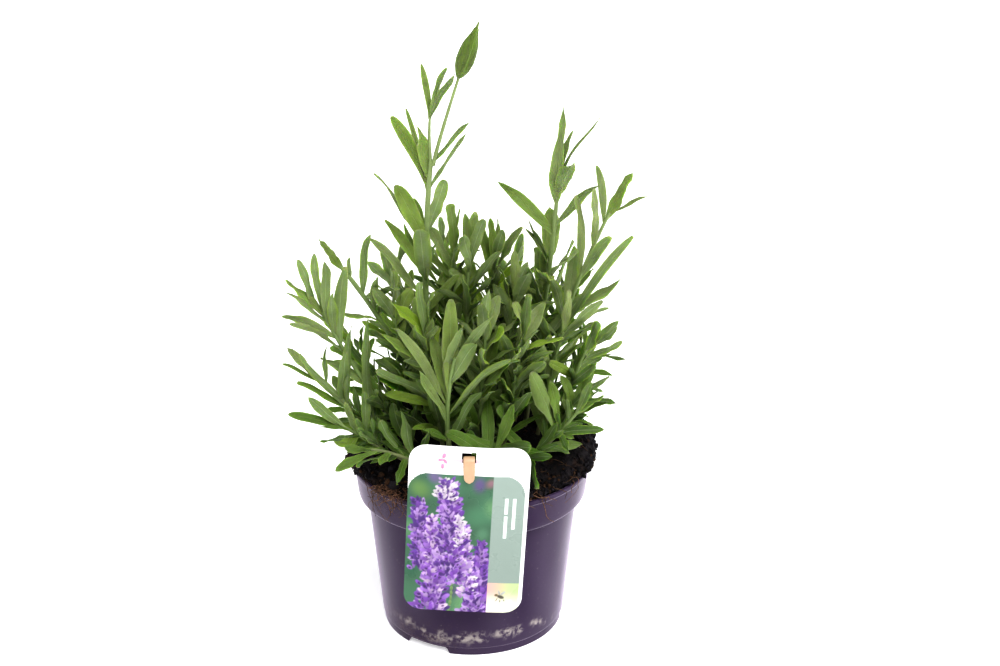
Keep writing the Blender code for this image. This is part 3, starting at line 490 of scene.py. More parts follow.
    "back_low_right": (((32, 16, rootZ), (52, 30, 122), (68, 38, 144)), 2.1, (4, 0.29, 0.95, 32, 7, 0),
        ((0.97, 82, 42, 158, 6.5, 45),)),
}
shoots = {name: dict(zip(("stem", "thick", "pairs", "leaves"), row)) for name, row in shoots.items()}

forks = {"tall_left_fork": "tall_left", "flower_stalk": "tall_left"}      # these grow as one with that shoot
leafShape = dict(footDepth=1.2, bow=0.08, thick=1.0, rows=12, midThick=0.55, slim=0.86, fold=0.32,
                 curl=0.24, twist=30.0, wave=0.09, sway=0.042, gap=0.3, stations=(0.14, 0.64), beak=0.58,
                 beakSpread=0.22)
stemShape = dict(rows=26, around=10, taper=0.35, sink=4.0, corners=0.07, swell=0.05)
nudges = (0, 3, -3, 6, -6, 10, -10, 14, -14)
turns = (0, 20, -20, 40, -40)
fillers = dict(length=(0.35, 0.75), width=0.68)
beaks = {(47, 288): 0.75, (68, 281): 0.5}         # leaves with drawn-out points, by the x and z of their tips


def bezier(points, t):
    a, b, c = (np.asarray(p, float) for p in points)
    return (1 - t) ** 2 * a + 2 * t * (1 - t) * b + t * t * c


def tangent(points, t):
    a, b, c = (np.asarray(p, float) for p in points)
    return unit(2 * (1 - t) * (b - a) + 2 * t * (c - b))


def spokes(angle, side, other):
    # the directions at those angles in the plane of two crossing unit vectors
    return np.cos(angle)[..., None] * side + np.sin(angle)[..., None] * other


def bladeWidth(s, beak=0.55):
    # Width along a leaf, from 0 to 1: s to the 0.75 times 1 - s to the beak power, over its largest value.
    # The foot is narrow, the widest place past the middle, and a higher beak draws the tip out to a point.
    peak = 0.75 / (0.75 + beak)
    return s ** 0.75 * (1 - s) ** beak / (peak ** 0.75 * (1 - peak) ** beak)


def leafCurve(base, tip, along):
    # a quadratic curve from base to tip whose middle is pushed along the stem and in towards it
    chord = tip - base
    length = np.linalg.norm(chord, axis=-1, keepdims=True)
    outward = unit(chord - along * (chord * along).sum(-1, keepdims=True))
    middle = base + chord / 2 + leafShape["bow"] * length * (along - 0.5 * outward)
    return (base, middle, tip), unit(np.cross(along, outward)), length


def coarseLeaf(leaf, grow):
    # the plain leaf solid of the frame, made a little fatter, to test that a leaf is clear of its neighbours
    base, tip, along, width, roll = leaf
    curve, level, _ = leafCurve(base, tip, along)
    rings = [[base - leafShape["footDepth"] * tangent(curve, 0)]]
    for s in leafShape["stations"]:
        ahead = tangent(curve, s)
        side = unit(level - ahead * np.dot(level, ahead))
        across = spokes(np.radians(roll), side, np.cross(side, ahead))
        through = np.cross(across, ahead)
        half = max(width / 2 * bladeWidth(s), 0.9) + grow
        thick = leafShape["thick"] / 2 + grow
        p = bezier(curve, s)
        rings.append([p - half * across, p - thick * through, p + half * across, p + thick * through])
    return rings + [[tip + grow * unit(tip - base)]]


def treeOf(rings):
    # a skin through rings of points, for the clearance test; a ring of one point is a tip
    points, faces, starts = [], [], []
    for ring in rings:
        starts.append(len(points))
        points.extend(ring)
    for low, high, a, b in zip(rings, rings[1:], starts, starts[1:]):
        around = max(len(low), len(high))
        for i in range(around):
            j = (i + 1) % around
            if len(high) == 1:
                faces.append((a + i, a + j, b))
            elif len(low) == 1:
                faces.append((a, b + j, b + i))
            else:
                faces.append((a + i, a + j, b + j, b + i))
    return BVHTree.FromPolygons([tuple(p) for p in points], faces)


def treeOfNode(name):
    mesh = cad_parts[name].data
    faces = [tuple(face.vertices) for face in mesh.polygons]
    return BVHTree.FromPolygons([tuple(p) for p in pointsOf(mesh)], faces)


def stemRadius(thick, t):
    return thick / 2 * (1 - stemShape["taper"] * t)


def coarseStem(stem, thick):
    rings = []
    for t in (0.0, 0.34, 0.67, 1.0):
        along = tangent(stem, t)
        side = unit(np.cross(along, (0.0, 1.0, 0.0)))
        around = spokes(turnsRound(5), side, np.cross(along, side))
        rings.append(list(bezier(stem, t) + stemRadius(thick, t) * around))
    return rings


def ownPairs(shoot, draws):
    # leaf pairs that cross at right angles up the stem, as lavender's do
    if not shoot["pairs"]:
        return
    count, first, last, length, width, turn = shoot["pairs"]
    for i in range(count):
        t = first + (last - first) * i / max(count - 1, 1)
        azimuth = turn + 90 * i + draws.uniform(-15, 15)
        for halfTurn in (0, 180):
            spread = math.radians(draws.uniform(30, 48) - 12 * t)
            size = length * draws.uniform(0.8, 1.1) * (0.75 + 0.25 * math.sin(math.pi * min(t + 0.2, 1)))
            wide, roll = width * draws.uniform(0.85, 1.1), draws.uniform(-70, 70)
            yield t, azimuth + halfTurn, spread, size, wide, roll


def smallPairs(shoot):
    # tufts of small leaves halfway between the pairs, turned an eighth of a circle from them
    if not shoot["pairs"]:
        return
    count, first, last, length, width, turn = shoot["pairs"]
    for i in range(2 * count):
        t = max(first - 0.06, 0.02) + (last - first) * (i + 0.5) / (2 * count)
        for halfTurn in (0, 180):
            size = length * rng.uniform(*fillers["length"])
            azimuth = turn + 45 + 90 * i + halfTurn + rng.uniform(-20, 20)
            spread = math.radians(rng.uniform(35, 60))
            wide, roll = width * fillers["width"] * rng.uniform(0.7, 1.1), rng.uniform(-80, 80)
            yield t, azimuth, spread, size, wide, roll


def pairTips(stem, t, azimuth, spread, size):
    # the wanted tip of a leaf and four others, turned about the stem
    along = tangent(stem, t)
    side = unit(np.cross(along, (0.0, 1.0, 0.3)))
    for turn in turns:
        out = spokes(np.radians(azimuth + turn), side, np.cross(along, side))
        yield bezier(stem, t) + size * (math.cos(spread) * along + math.sin(spread) * out)


def place(name, t, width, roll, taken, tips):
    # the leaf with the first of these tips at which it is clear of every other shoot, or none
    stem, key = shoots[name]["stem"], forks.get(name, name)
    for tip in tips:
        leaf = (bezier(stem, t), tip, tangent(stem, t), width, roll)
        tree = treeOf(coarseLeaf(leaf, leafShape["gap"]))
        if not any(other != key and tree.overlap(near) for other, near in taken):
            taken.append((key, treeOf(coarseLeaf(leaf, 0.0))))
            return [leaf]
    return []


def growLeaves(taken):
    # the frame's leaves first, in its own order, then small ones between them
    draws = np.random.default_rng(7)
    leaves = {name: [] for name in shoots}
    for name, shoot in shoots.items():
        for t, x, y, z, width, roll in shoot["leaves"]:
            tips = [np.array((x, y + nudge, z), float) for nudge in nudges]
            leaves[name] += place(name, t, width, roll, taken, tips)
    for pairs in (lambda shoot: ownPairs(shoot, draws), smallPairs):
        for name, shoot in shoots.items():
            for t, azimuth, spread, size, width, roll in pairs(shoot):
                tips = pairTips(shoot["stem"], t, azimuth, spread, size)
                leaves[name] += place(name, t, width, roll, taken, tips)
    return leaves


def bladeData(s, c, under, count, luck):
    # for each point of a blade: how far along, how far across, whether it is below, and the blade's own luck
    size = len(s) * len(c)
    data = np.zeros((count, size + 2, 4))
    data[:, :size, 0] = np.repeat(s, len(c))
    data[:, :size, 1] = np.tile((c + 1) / 2, len(s))
    data[:, :size, 2] = np.tile(under, len(s))
    data[:, size:, :2] = ((0, 0.5), (1, 0.5))
    data[..., 3] = luck
    return data.reshape(-1, 4)


def fineLeaves(leaves):
    # Closed blades worked out together. Along a leaf its ring is carried on the bowed curve; across it the
    # blade is folded into a shallow V at the midrib, curls at its margins, twists and waves a little, and
    # thins outwards.
    shape = leafShape
    s = np.concatenate([[0.015], np.linspace(0.0, 1.0, shape["rows"] + 1)[1:-1] ** 0.9, [0.985]])
    c = np.array([-1, -0.55, 0, 0.55, 1, 0.55, 0, -0.55])
    under = np.arange(8) > 4
    base, tip, along = (np.array([leaf[k] for leaf in leaves]) for k in range(3))
    width, roll = (np.array([leaf[k] for leaf in leaves])[:, None] for k in (3, 4))
    luck = rng.uniform(-1, 1, (6, len(leaves)))[..., None]
    bent, level, length = leafCurve(base, tip, along)
    bent = [p[:, None] for p in bent]
    curve, ahead = bezier(bent, s[:, None]), tangent(bent, s[:, None])
    side = unit(level[:, None] - ahead * (level[:, None] * ahead).sum(-1, keepdims=True))
    turn = np.radians(roll) + np.radians(shape["twist"]) * luck[0] * (2 * s - 1) * 1.5
    across = spokes(turn, side, np.cross(side, ahead))
    normal = np.cross(across, ahead)
    upwards = np.sign((normal[:, 4] * along).sum(-1)).reshape(-1, 1, 1)
    upwards = np.where(upwards == 0, 1, upwards)
    normal, across = normal * upwards, across * upwards
    drawn = np.array([beaks.get((leaf[1][0], leaf[1][2]), 0.0) for leaf in leaves])[:, None]
    half = shape["slim"] * width / 2 * bladeWidth(s, shape["beak"] + shape["beakSpread"] * luck[1] + drawn)
    half = np.maximum(half, [0.75] + [0.35] * (len(s) - 2) + [0.12])
    bend = shape["fold"] * (1 + 0.6 * luck[1]) * half
    waves = shape["wave"] * width * (np.sin(10 * s + 6 * luck[2]) + 0.5 * np.sin(23 * s + 9 * luck[3]))
    sway = shape["sway"] * length * (luck[4] * np.sin(np.pi * s) + luck[5] * np.sin(2 * np.pi * s))
    rim = shape["curl"] * (1 + luck[3]) * half
    lift = bend[..., None] * np.abs(c) - rim[..., None] * c ** 4 + waves[..., None] * c
    thick = np.where(np.abs(c) > 0.9, 0.0, shape["midThick"] * np.where(under, -0.5, 0.5))
    lift = lift + thick * np.minimum(1.0, 6 * (1.02 - s))[:, None] + sway[..., None]
    sideways = (half[..., None] * c)[..., None]
    rings = curve[:, :, None] + across[:, :, None] * sideways + normal[:, :, None] * lift[..., None]
    blades = closedTubes(rings, base - 0.6 * ahead[:, 0], rings[:, -1].mean(1) + 0.35 * ahead[:, -1])
    return blades, bladeData(s, c, under, len(leaves), rng.uniform(0, 1, (len(leaves), 1)))


def fineStem(stem, thick):
    # a bezier tube with four soft corners that swells a little at the leaf pairs; its foot is in the soil
    t = np.linspace(0, 1, stemShape["rows"])[:, None]
    root, middle, top = (np.asarray(p, float) for p in stem)
    bent = (root - (0, 0, stemShape["sink"] * (root[2] <= rootZ)), middle, top)
    centre, ahead = bezier(bent, t), tangent(bent, t)
    side = unit(np.cross(ahead, (0.0, 1.0, 0.0)))
    angle = turnsRound(stemShape["around"])
    radius = stemRadius(thick, t) * (1 + stemShape["corners"] * np.cos(4 * angle))
    radius = (radius * (1 + stemShape["swell"] * np.sin(38 * t)))[..., None]
    rings = centre[:, None] + radius * spokes(angle, side[:, None], np.cross(ahead, side)[:, None])
    return closedTubes(rings[None], centre[:1], centre[-1:] + 0.5 * ahead[-1:])


def leafYouthAndShade(tip):
    # 0 for old leaves deep in the plant, 1 for young ones at the shoot tips: high and outer leaves get more,
    # so this is also painted light on them and painted shade on the leaves deep inside
    high = np.clip((tip[2] - 125) / 70, 0, 1)
    outside = np.clip(np.hypot(tip[0], tip[1]) / 80, 0, 1)
    return float(np.clip(0.10 + 0.72 * high + 0.28 * outside + rng.uniform(-0.15, 0.20), 0, 1))


def makeShoot(node, names, leaves):
    # one mesh of all the blades and then the stems, with a material for each
    found = [leaf for name in names for leaf in leaves[name]]
    # each leaf's age, which also carries painted light on high outer leaves and painted shade deep inside
    youthsAndShade = [leafYouthAndShade(leaf[1]) for leaf in found]
    blades, data = fineLeaves(found)
    stems = [fineStem(shoots[name]["stem"], shoots[name]["thick"]) for name in names]
    points, quads, tris = joined([blades] + stems)
    rest = len(points) - len(data)
    youthsAndShade = np.concatenate([np.repeat(youthsAndShade, len(data) // len(found)), np.full(rest, 0.5)])
    ofStem = [np.arange(len(faces)) >= len(own) for faces, own in zip((quads, tris), blades[1:])]
    data = np.concatenate([data, np.full((rest, 4), 0.5)])
    piece = meshPiece(f"leafy_{node}", points, quads, tris, (leafMaterial, stemMaterial),
                      np.concatenate(ofStem), {"blade": data}, {"youth_and_shade": youthsAndShade}, sharp=55)
    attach(piece, "root")
    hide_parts(f"shoot_{node}")


def makePlant():
    taken = [(name, treeOfNode(name)) for name in ("pot", "soil", "label_card", "label_peg", "flower_bud")]
    for name, shoot in shoots.items():
        taken.append((forks.get(name, name), treeOf(coarseStem(shoot["stem"], shoot["thick"]))))
    leaves = growLeaves(taken)
    for node in shoots:
        if node not in forks:
            makeShoot(node, [name for name in shoots if forks.get(name, name) == node], leaves)
    print("plant:", sum(map(len, leaves.values())), "leaves on", len(shoots), "stems")


makePlant()

# the pot
potShape = dict(rim=65.0, height=95.0, wall=1.2, collarBottom=76.7, collarLow=62.3, bodyTop=57.5,
                bodyLow=51.0, foot=50.2, footHeight=4.5, floor=1.5, pad=12.0, holeRadius=4.5, holes=6,
                holeCircle=33.0, holeTurn=0.43, notches=3, notchWidth=24.0, notchHeight=3.6,
                notchFirst=-118.7, around=288)
potColours = dict(plastic=(0.029, 0.0130, 0.045), rubbed=(0.16, 0.135, 0.18), chalk=(0.35, 0.315, 0.30),
                  dust=(0.085, 0.052, 0.036), speck=(0.22, 0.19, 0.18))


def roundedProfile(corners):
    # each corner (r, z, size) becomes a short curve: a quadratic bend from size before it to size after it
    path = []
    for i, (r, z, size) in enumerate(corners):
        here = np.array((r, z), float)
        if size == 0 or i in (0, len(corners) - 1):
            path.append(here)
            continue
        before, after = (np.array(corners[i + step][:2], float) for step in (-1, 1))
        low, high = here + size * unit(before - here), here + size * unit(after - here)
        for t in (0, 0.33, 0.67, 1):
            path.append((1 - t) ** 2 * low + 2 * t * (1 - t) * here + t * t * high)
    return np.array(path)


def resample(path, step):
    # extra points on the long stretches, none closer than the profile's own
    out = [path[0]]
    for a, b in zip(path, path[1:]):
        count = max(int(np.linalg.norm(b - a) / step), 1)
        out += [a + (b - a) * k / count for k in range(1, count + 1)]
    return np.array(out)


def potDirt(points):
    # masks from 0 to 1: the dried splash band low on the wall, brown dust under the rim, rubbed-off shine
    x, y, z = points.T
    angle = np.degrees(np.arctan2(y, x))
    lumps = 0.6 * lumpNoise(points, 4.2, 3) + 0.4 * lumpNoise(points, 1.7, 4)
    front = smoothStep(1.25 - np.abs(angle + 86) / 62)
    wander = 12.0 + 1.6 * np.sin(np.radians(angle) * 5 + 1) + 0.8 * np.sin(np.radians(angle) * 13)
    band = np.exp(-((z - wander) / 4.2) ** 2) * (0.30 + 0.70 * front)
    splash = smoothStep((band * (0.75 + 0.85 * lumps) - 0.34) / 0.32)
    low = np.exp(-((z - 9) / 8.5) ** 2) * smoothStep((lumps + 0.55) / 0.9)
    low = low * smoothStep(1.2 - np.abs(angle + 130) / 50)
    collar = smoothStep((z - 74) / 14) * smoothStep((lumpNoise(points * (1, 1, 0.35), 5.0, 8) + 0.1) / 0.7)
    brown = np.maximum(0.8 * low, 0.55 * collar * (0.35 + 0.65 * smoothStep(1.3 - np.abs(angle + 125) / 45)))
    rubbed = smoothStep(0.5 + 0.7 * lumpNoise(points * (1, 1, 0.5), 14.0, 6))
    return np.stack([splash, brown, rubbed, np.ones_like(z)], -1)


def makePotMaterial():
    # dark violet-grey moulded plastic; fine noise breaks up the splashes and dust of the dirt attribute
    mat, tree, shader = newMaterial("pot_plastic", 0.36, IOR=1.30, Sheen_Weight=0.85, Sheen_Roughness=0.28,
                                    Sheen_Tint=(0.92, 0.80, 1.0, 1.0))
    place = objectPlace(tree)
    splash, brown, rubbed = channels(tree, attribute(tree, "dirt")["Color"])
    fine = noise(tree, place, 1400.0, 4, 0.7)
    cloud = noise(tree, place, 260.0, 5, 0.65)
    base = useGroup(tree, mottle, Colour=potColours["plastic"], Coarse=45.0, Fine=500.0, Amount=0.22)
    plastic = mixColour(tree, times(tree, rubbed, 0.16), base["Colour"], potColours["rubbed"])
    chalk = times(tree, splash, ramp(tree, cloud, 0.40, 0.60), clamp=True)
    chalky = mixColour(tree, times(tree, chalk, 0.88), plastic, potColours["chalk"])
    dust = times(tree, brown, ramp(tree, fine, 0.42, 0.66), clamp=True)
    dusty = mixColour(tree, times(tree, dust, 0.70), chalky, potColours["dust"])
    speck = ramp(tree, noise(tree, place, 900.0, 2, 0.5), 0.70, 0.76, 0.0, 0.5)
    specked = mixColour(tree, speck, dusty, potColours["speck"])
    rough = plus(tree, ramp(tree, rubbed, 0.0, 1.0, 0.26, 0.38), times(tree, fine, 0.08))
    rough = plus(tree, rough, times(tree, maths(tree, "MAXIMUM", chalk, dust), 0.4), clamp=True)
    crust = plus(tree, times(tree, chalk, 0.8), times(tree, dust, 0.4))
    grain = plus(tree, crust, times(tree, fine, 0.12))
    finish(tree, shader, specked, grain, 0.45, 0.0004, Roughness=rough)
    return mat


def makePot():
    # a profile turned round the z axis; the ring it stands on rises in three places to let water out
    p = potShape
    inFoot, inLow, floorTop = p["foot"] - p["wall"], p["bodyLow"] - p["wall"], p["footHeight"] + p["floor"]
    corners = [(p["pad"], 0, 0.5), (p["pad"], p["footHeight"], 0.4), (inFoot, p["footHeight"], 0.4),
               (inFoot, 0, 0.3), (p["foot"], 0, 0.3), (p["foot"], p["footHeight"] - 0.4, 0.3),
               (p["bodyLow"], p["footHeight"] + 0.3, 0.4), (p["bodyTop"], p["collarBottom"] - 1.2, 1.2),
               (p["collarLow"], p["collarBottom"], 1.3), (p["rim"] - 1.0, p["height"] - 3.2, 0.5),
               (p["rim"], p["height"] - 2.4, 0.4), (p["rim"] + 0.1, p["height"] - 0.1, 0.9),
               (p["rim"] - 1.9, p["height"], 0.7), (p["rim"] - 2.3, p["height"] - 2.5, 0.6),
               (p["collarLow"] - p["wall"], p["collarBottom"] + 1.0, 1.0),
               (p["bodyTop"] - p["wall"], p["collarBottom"] - 1.4, 1.0), (inLow, floorTop, 1.5)]
    profile = roundedProfile([(0, 0, 0)] + corners + [(0, floorTop, 0)])
    profile = resample(profile[1:-1], 2.2)
    angle = turnsRound(p["around"])
    r, z = (np.repeat(profile[:, k:k + 1], p["around"], 1) for k in (0, 1))
    lift = np.zeros(p["around"])
    for i in range(p["notches"]):
        away = angle - math.radians(p["notchFirst"]) - 2 * np.pi * i / p["notches"]
        away = (away + np.pi) % (2 * np.pi) - np.pi
        across = np.abs(p["foot"] * np.sin(away)) + 99 * (np.cos(away) < 0)
        lift = np.maximum(lift, p["notchHeight"] * smoothStep((p["notchWidth"] / 2 - across) / 0.8 + 0.5))
    onRing = (r > p["pad"] + 5) & (z < p["footHeight"])
    top = p["footHeight"]
    z = np.where(onRing, np.maximum(z, lift[None] + (top - lift[None]) * z / top * (lift[None] > 0)), z)
    rings = np.stack([r * np.cos(angle), r * np.sin(angle), z], -1)
    points, quads, tris = closedTubes(rings[None], np.array([[0, 0, 0.0]]), np.array([[0, 0, floorTop]]))
    piece = meshPiece("turned_pot", points, quads, tris, (makePotMaterial(),))
    flat = np.eye(3)[:2]
    middle = p["holeCircle"] * spokes(turnsRound(p["holes"]) + 2 * np.pi * p["holeTurn"] / p["holes"], *flat)
    ring = p["holeRadius"] * spokes(turnsRound(32), *flat)
    drills = middle[:, None, None] + ring + np.array([(0, 0, 2.0), (0, 0, 8.0)])[:, None]
    drill = meshPiece("drain_drill", *closedTubes(drills, drills[:, 0].mean(1), drills[:, 1].mean(1)))
    cut = piece.modifiers.new("drain", "BOOLEAN")
    cut.operation, cut.solver, cut.object = "DIFFERENCE", "EXACT", drill
    applyModifiers(piece)
    bpy.data.objects.remove(drill)
    addColours(piece.data, "dirt", potDirt(pointsOf(piece.data)))
    smoothEdges(piece.data, 50)
    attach(piece, "root")
    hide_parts("pot")


makePot()
print("pot ready")

# the soil
soilShape = dict(around=256, rowsBetween=9, crumbs=3400, specks=46, fibres=150, roots=56, overhang=0.45)
soilColours = dict(ground=(0.0105, 0.0085, 0.0095, 1.0), dark=(0.010, 0.0085, 0.0105), pale=(0.42, 0.38, 0.33),
                   brown=(0.040, 0.022, 0.013), patch=(0.034, 0.018, 0.011), fibre=(0.060, 0.036, 0.022),
                   root=(0.135, 0.078, 0.052))
# radius, height, how far out and how far up the ring moves where the soil is heaped, and how lumpy it is
soilProfile = np.array([
    (48.6, 6.3, 0, 0, 0), (55.1, 75.1, 0, 0, 0), (60.0, 79.1, 0, 0, 0), (62.0, 94.9, 0, 0.2, 0),
    (62.1, 95.6, 3.6, 0.1, 0), (61.4, 96.6, 5.6, 4.2, 0.5), (59.5, 98.0, 2.4, 10.4, 0.8),
    (54.5, 101.0, 0, 10.6, 0.9), (46.0, 107.2, 0, 0.8, 0), (34.0, 108.0, 0, 0, 0), (18.0, 108.4, 0, 0, 0),
    (4.0, 108.4, 0, 0, 0)], float)


def heapShare(angle):
    # 0 at the label side, where the soil meets the rim, 1 where it heaps over the rim
    return smoothStep((np.sin(angle) + 0.78) / 0.5)


def smoothRows(rows, between):
    # Catmull-Rom curves through the rows, with that many steps from each to the next
    padded = np.concatenate([2 * rows[:1] - rows[1:2], rows, 2 * rows[-1:] - rows[-2:-1]])
    t = (np.arange(between) / between)[:, None]
    out = []
    for a, b, c, d in zip(padded, padded[1:], padded[2:], padded[3:]):
        out.append(b + 0.5 * t * (c - a + t * (2 * a - 5 * b + 4 * c - d + t * (3 * (b - c) + d - a))))
    return np.concatenate(out + [rows[-1:]])


def soilGrid():
    # rings of the profile, pushed out along their normals by three sizes of noise where they can be seen
    low, high = soilProfile[:4], smoothRows(soilProfile[3:], soilShape["rowsBetween"])
    rows = np.concatenate([low[:3], high])
    angle = turnsRound(soilShape["around"])[None]
    share = heapShare(angle)
    radius, height, spread, rise, lump = (rows[:, k:k + 1] for k in range(5))
    bump = lump * share * (np.sin(5 * angle + 1.0) + 0.6 * np.sin(9 * angle))
    r, z = radius + spread * share + 0.5 * bump, height + rise * share + bump
    points = np.stack([r * np.cos(angle), r * np.sin(angle), z], -1)
    out = points[1:-1].copy()
    sideways = np.roll(points, -1, 1)[1:-1] - np.roll(points, 1, 1)[1:-1]
    normal = unit(np.cross(sideways, points[2:] - points[:-2]))
    seen = np.zeros((len(rows) - 2, 1))
    seen[2:, 0] = np.clip((np.arange(len(rows) - 4) - 3) / 8, 0, 1)
    rough = 1.25 * lumpNoise(out, 8.0, 1) + 1.0 * lumpNoise(out, 3.4, 2) + 0.55 * lumpNoise(out, 1.6, 5)
    out += normal * (seen * rough)[..., None]
    points[1:-1] = out
    return points, normal


def crumbBalls(centres, sizes):
    # twelve-cornered lumps, each stretched, knocked out of shape and turned its own way
    g = (1 + 5 ** 0.5) / 2
    corners = unit(np.array([
        (-1, g, 0), (1, g, 0), (-1, -g, 0), (1, -g, 0), (0, -1, g), (0, 1, g),
        (0, -1, -g), (0, 1, -g), (g, 0, -1), (g, 0, 1), (-g, 0, -1), (-g, 0, 1)], float))
    faces = np.array([
        (0, 11, 5), (0, 5, 1), (0, 1, 7), (0, 7, 10), (0, 10, 11), (1, 5, 9), (5, 11, 4), (11, 10, 2),
        (10, 7, 6), (7, 1, 8), (3, 9, 4), (3, 4, 2), (3, 2, 6), (3, 6, 8), (3, 8, 9), (4, 9, 5),
        (2, 4, 11), (6, 2, 10), (8, 6, 7), (9, 8, 1)])
    count = len(centres)
    frames = np.linalg.qr(rng.normal(size=(count, 3, 3)))[0]
    frames *= np.sign(np.linalg.det(frames))[:, None, None]
    shape = corners[None] * rng.uniform(0.72, 1.25, (count, 12, 1)) * rng.uniform(0.55, 1.3, (count, 1, 3))
    points = centres[:, None] + sizes[:, None, None] * np.einsum("kij,knj->kni", frames, shape)
    return points.reshape(-1, 3), (faces + 12 * np.arange(count)[:, None, None]).reshape(-1, 3)


def threads(paths, radius, around=5):
    # thin tubes round many paths of one length, thinner at both ends
    ahead = unit(np.gradient(paths, axis=1))
    side = unit(np.cross(ahead, (0.31, 0.17, 0.93)))
    other = np.cross(ahead, side)
    t = np.linspace(0, 1, paths.shape[1])
    r = (radius[:, None] * (0.35 + 0.65 * np.sin(np.pi * np.clip(t, 0.12, 0.88))))[..., None, None]
    rings = paths[:, :, None] + r * spokes(turnsRound(around), side[:, :, None], other[:, :, None])
    return closedTubes(rings, paths[:, 0] - 0.1 * ahead[:, 0], paths[:, -1] + 0.1 * ahead[:, -1])


def rootPaths():
    # fine roots that leave the soil, cross the rim and hang on the collar, wandering as they go
    count, steps = soilShape["roots"], 14
    t = np.linspace(0, 1, steps)
    mostly = rng.uniform(0, 1, count) < 0.8
    start = np.radians(np.where(mostly, rng.normal(-131, 6.5, count), rng.normal(-47, 8, count)))
    reach = 0.42 + 0.5 * rng.uniform(0, 1, count) ** 2.2
    along = t[None] * reach[:, None]
    r = np.interp(along, (0, 0.22, 0.34, 0.44, 1), (58.5, 62.5, 65.8, 66.0, 63.6))
    z = np.interp(along, (0, 0.22, 0.34, 0.44, 1), (98.5, 97.4, 96.2, 93.5, 75.0))
    swing = np.cumsum(rng.normal(0, 1, (count, steps)), 1) * 0.018
    angle = start[:, None] + swing + 0.12 * np.sin(3 * t[None] + rng.uniform(0, 6, (count, 1))) * t
    r = r + np.abs(rng.normal(0, 0.25, (count, steps))) + 0.2
    return np.stack([r * np.cos(angle), r * np.sin(angle), z + rng.normal(0, 0.35, (count, steps))], -1)


def makeSoilMaterial():
    # peat: nearly black crumbs with browner ones among them; the crumb attribute is each lump's own colour
    mat, tree, shader = newMaterial("peat_soil", 0.8, Specular_IOR_Level=0.15)
    place = objectPlace(tree)
    grit = noise(tree, place, 750.0, 5, 0.7)
    shade = ramp(tree, grit, 0.30, 0.72, 0.35, 1.75)
    grey = addNode(tree, "CombineColor", Red=shade, Green=shade, Blue=shade)
    peat = mixColour(tree, 1.0, attribute(tree, "crumb")["Color"], grey.outputs[0], "MULTIPLY")
    fibre = addNode(tree, "TexVoronoi", Vector=place, Scale=420.0).outputs["Distance"]
    brown = times(tree, ramp(tree, noise(tree, place, 130.0, 3), 0.54, 0.70), 0.55)
    browned = mixColour(tree, brown, peat, soilColours["patch"])
    rough = ramp(tree, grit, 0.35, 0.7, 0.55, 0.95)
    finish(tree, shader, browned, plus(tree, grit, times(tree, fibre, 0.6)), 0.9, 0.0009, Roughness=rough)
    return mat


def makeSoil():
    grid, normal = soilGrid()
    points, quads, tris = closedTubes(grid[None], np.array([[0, 0, 6.3]]), np.array([[0, 0, 108.5]]))
    colours = np.tile(soilColours["ground"], (len(points), 1))
    colours[:, :3] *= (1 + 0.55 * lumpNoise(points, 5.0, 9))[:, None]
    parts = [(points, quads, tris, colours)]
    first, last = len(soilProfile[:3]) + 8, grid.shape[0] - 3
    count = soilShape["crumbs"]
    row = (first + (last - first) * rng.beta(0.85, 1.35, count)).astype(int)
    column = rng.integers(0, soilShape["around"], count)
    at, up = grid[row, column], normal[row - 1, column]
    size = np.exp(rng.normal(-0.12, 0.38, count)) * np.where(row < last - 18, 1.0, 0.8)
    centres = at + up * (size * rng.uniform(-0.2, soilShape["overhang"], count))[:, None]
    speck = np.arange(count) < soilShape["specks"]
    size = np.where(speck, rng.uniform(0.35, 0.8, count), size)
    points, tris = crumbBalls(centres, size)
    dark, brown, pale = (np.array(soilColours[name]) * rng.uniform(0.5, most, (count, 1))
                         for name, most in (("dark", 1.9), ("brown", 1.6), ("pale", 1.0)))
    own = np.where(rng.uniform(0, 1, (count, 1)) < 0.16, brown, dark)
    own = np.where(speck[:, None], pale, own)
    parts.append((points, np.empty((0, 4), int), tris, np.repeat(np.c_[own, np.ones(count)], 12, 0)))
    count = soilShape["fibres"]
    row, column = rng.integers(first, last - 6, count), rng.integers(0, soilShape["around"], count)
    spot, up = grid[row, column], normal[row - 1, column]
    lie = unit(np.cross(up, unit(rng.normal(size=(count, 3)))))
    bend = unit(np.cross(up, lie))
    t = np.linspace(-0.5, 0.5, 7)[None, :, None]
    long = rng.uniform(4, 11, (count, 1, 1))
    paths = spot[:, None] + up[:, None] * (1.0 - 2.2 * t ** 2) + lie[:, None] * t * long + bend[:, None] * (
        t ** 2 * long * rng.uniform(-0.6, 0.6, (count, 1, 1)))
    for lines, radius, tone in ((paths, rng.uniform(0.10, 0.24, count), "fibre"),
                                (rootPaths(), rng.uniform(0.12, 0.30, soilShape["roots"]), "root")):
        points, quads, tris = threads(lines, radius)
        each = np.array(soilColours[tone]) * rng.uniform(0.5, 1.5, (len(lines), 1))
        each = np.repeat(np.c_[each, np.ones(len(lines))], len(points) // len(lines), 0)
        parts.append((points, quads, tris, each))
    colours = {"crumb": np.concatenate([part[3] for part in parts])}
    piece = meshPiece("heaped_soil", *joined(parts), mats=(makeSoilMaterial(),), colours=colours, sharp=50)
    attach(piece, "root")
    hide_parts("soil")


makeSoil()
print("soil ready")

# the label card and its peg
cardShape = dict(width=61.0, height=93.0, thick=0.5, corner=9.0, lean=3.3, centre=(-1.8, -66.0, 83.0),
                 columns=154, rows=234, slot=(-3.5, 3.5, 121.0, 126.4), curl=1.3, wave=0.9, straight=15.0)
pegShape = dict(width=5.8, thick=1.1, point=(-52.0, 66.0), rim=(-61.0, 96.5), bendZ=121.3, tongueY=-67.9,
                tongueEnd=110.6, colour=(0.50, 0.335, 0.215))


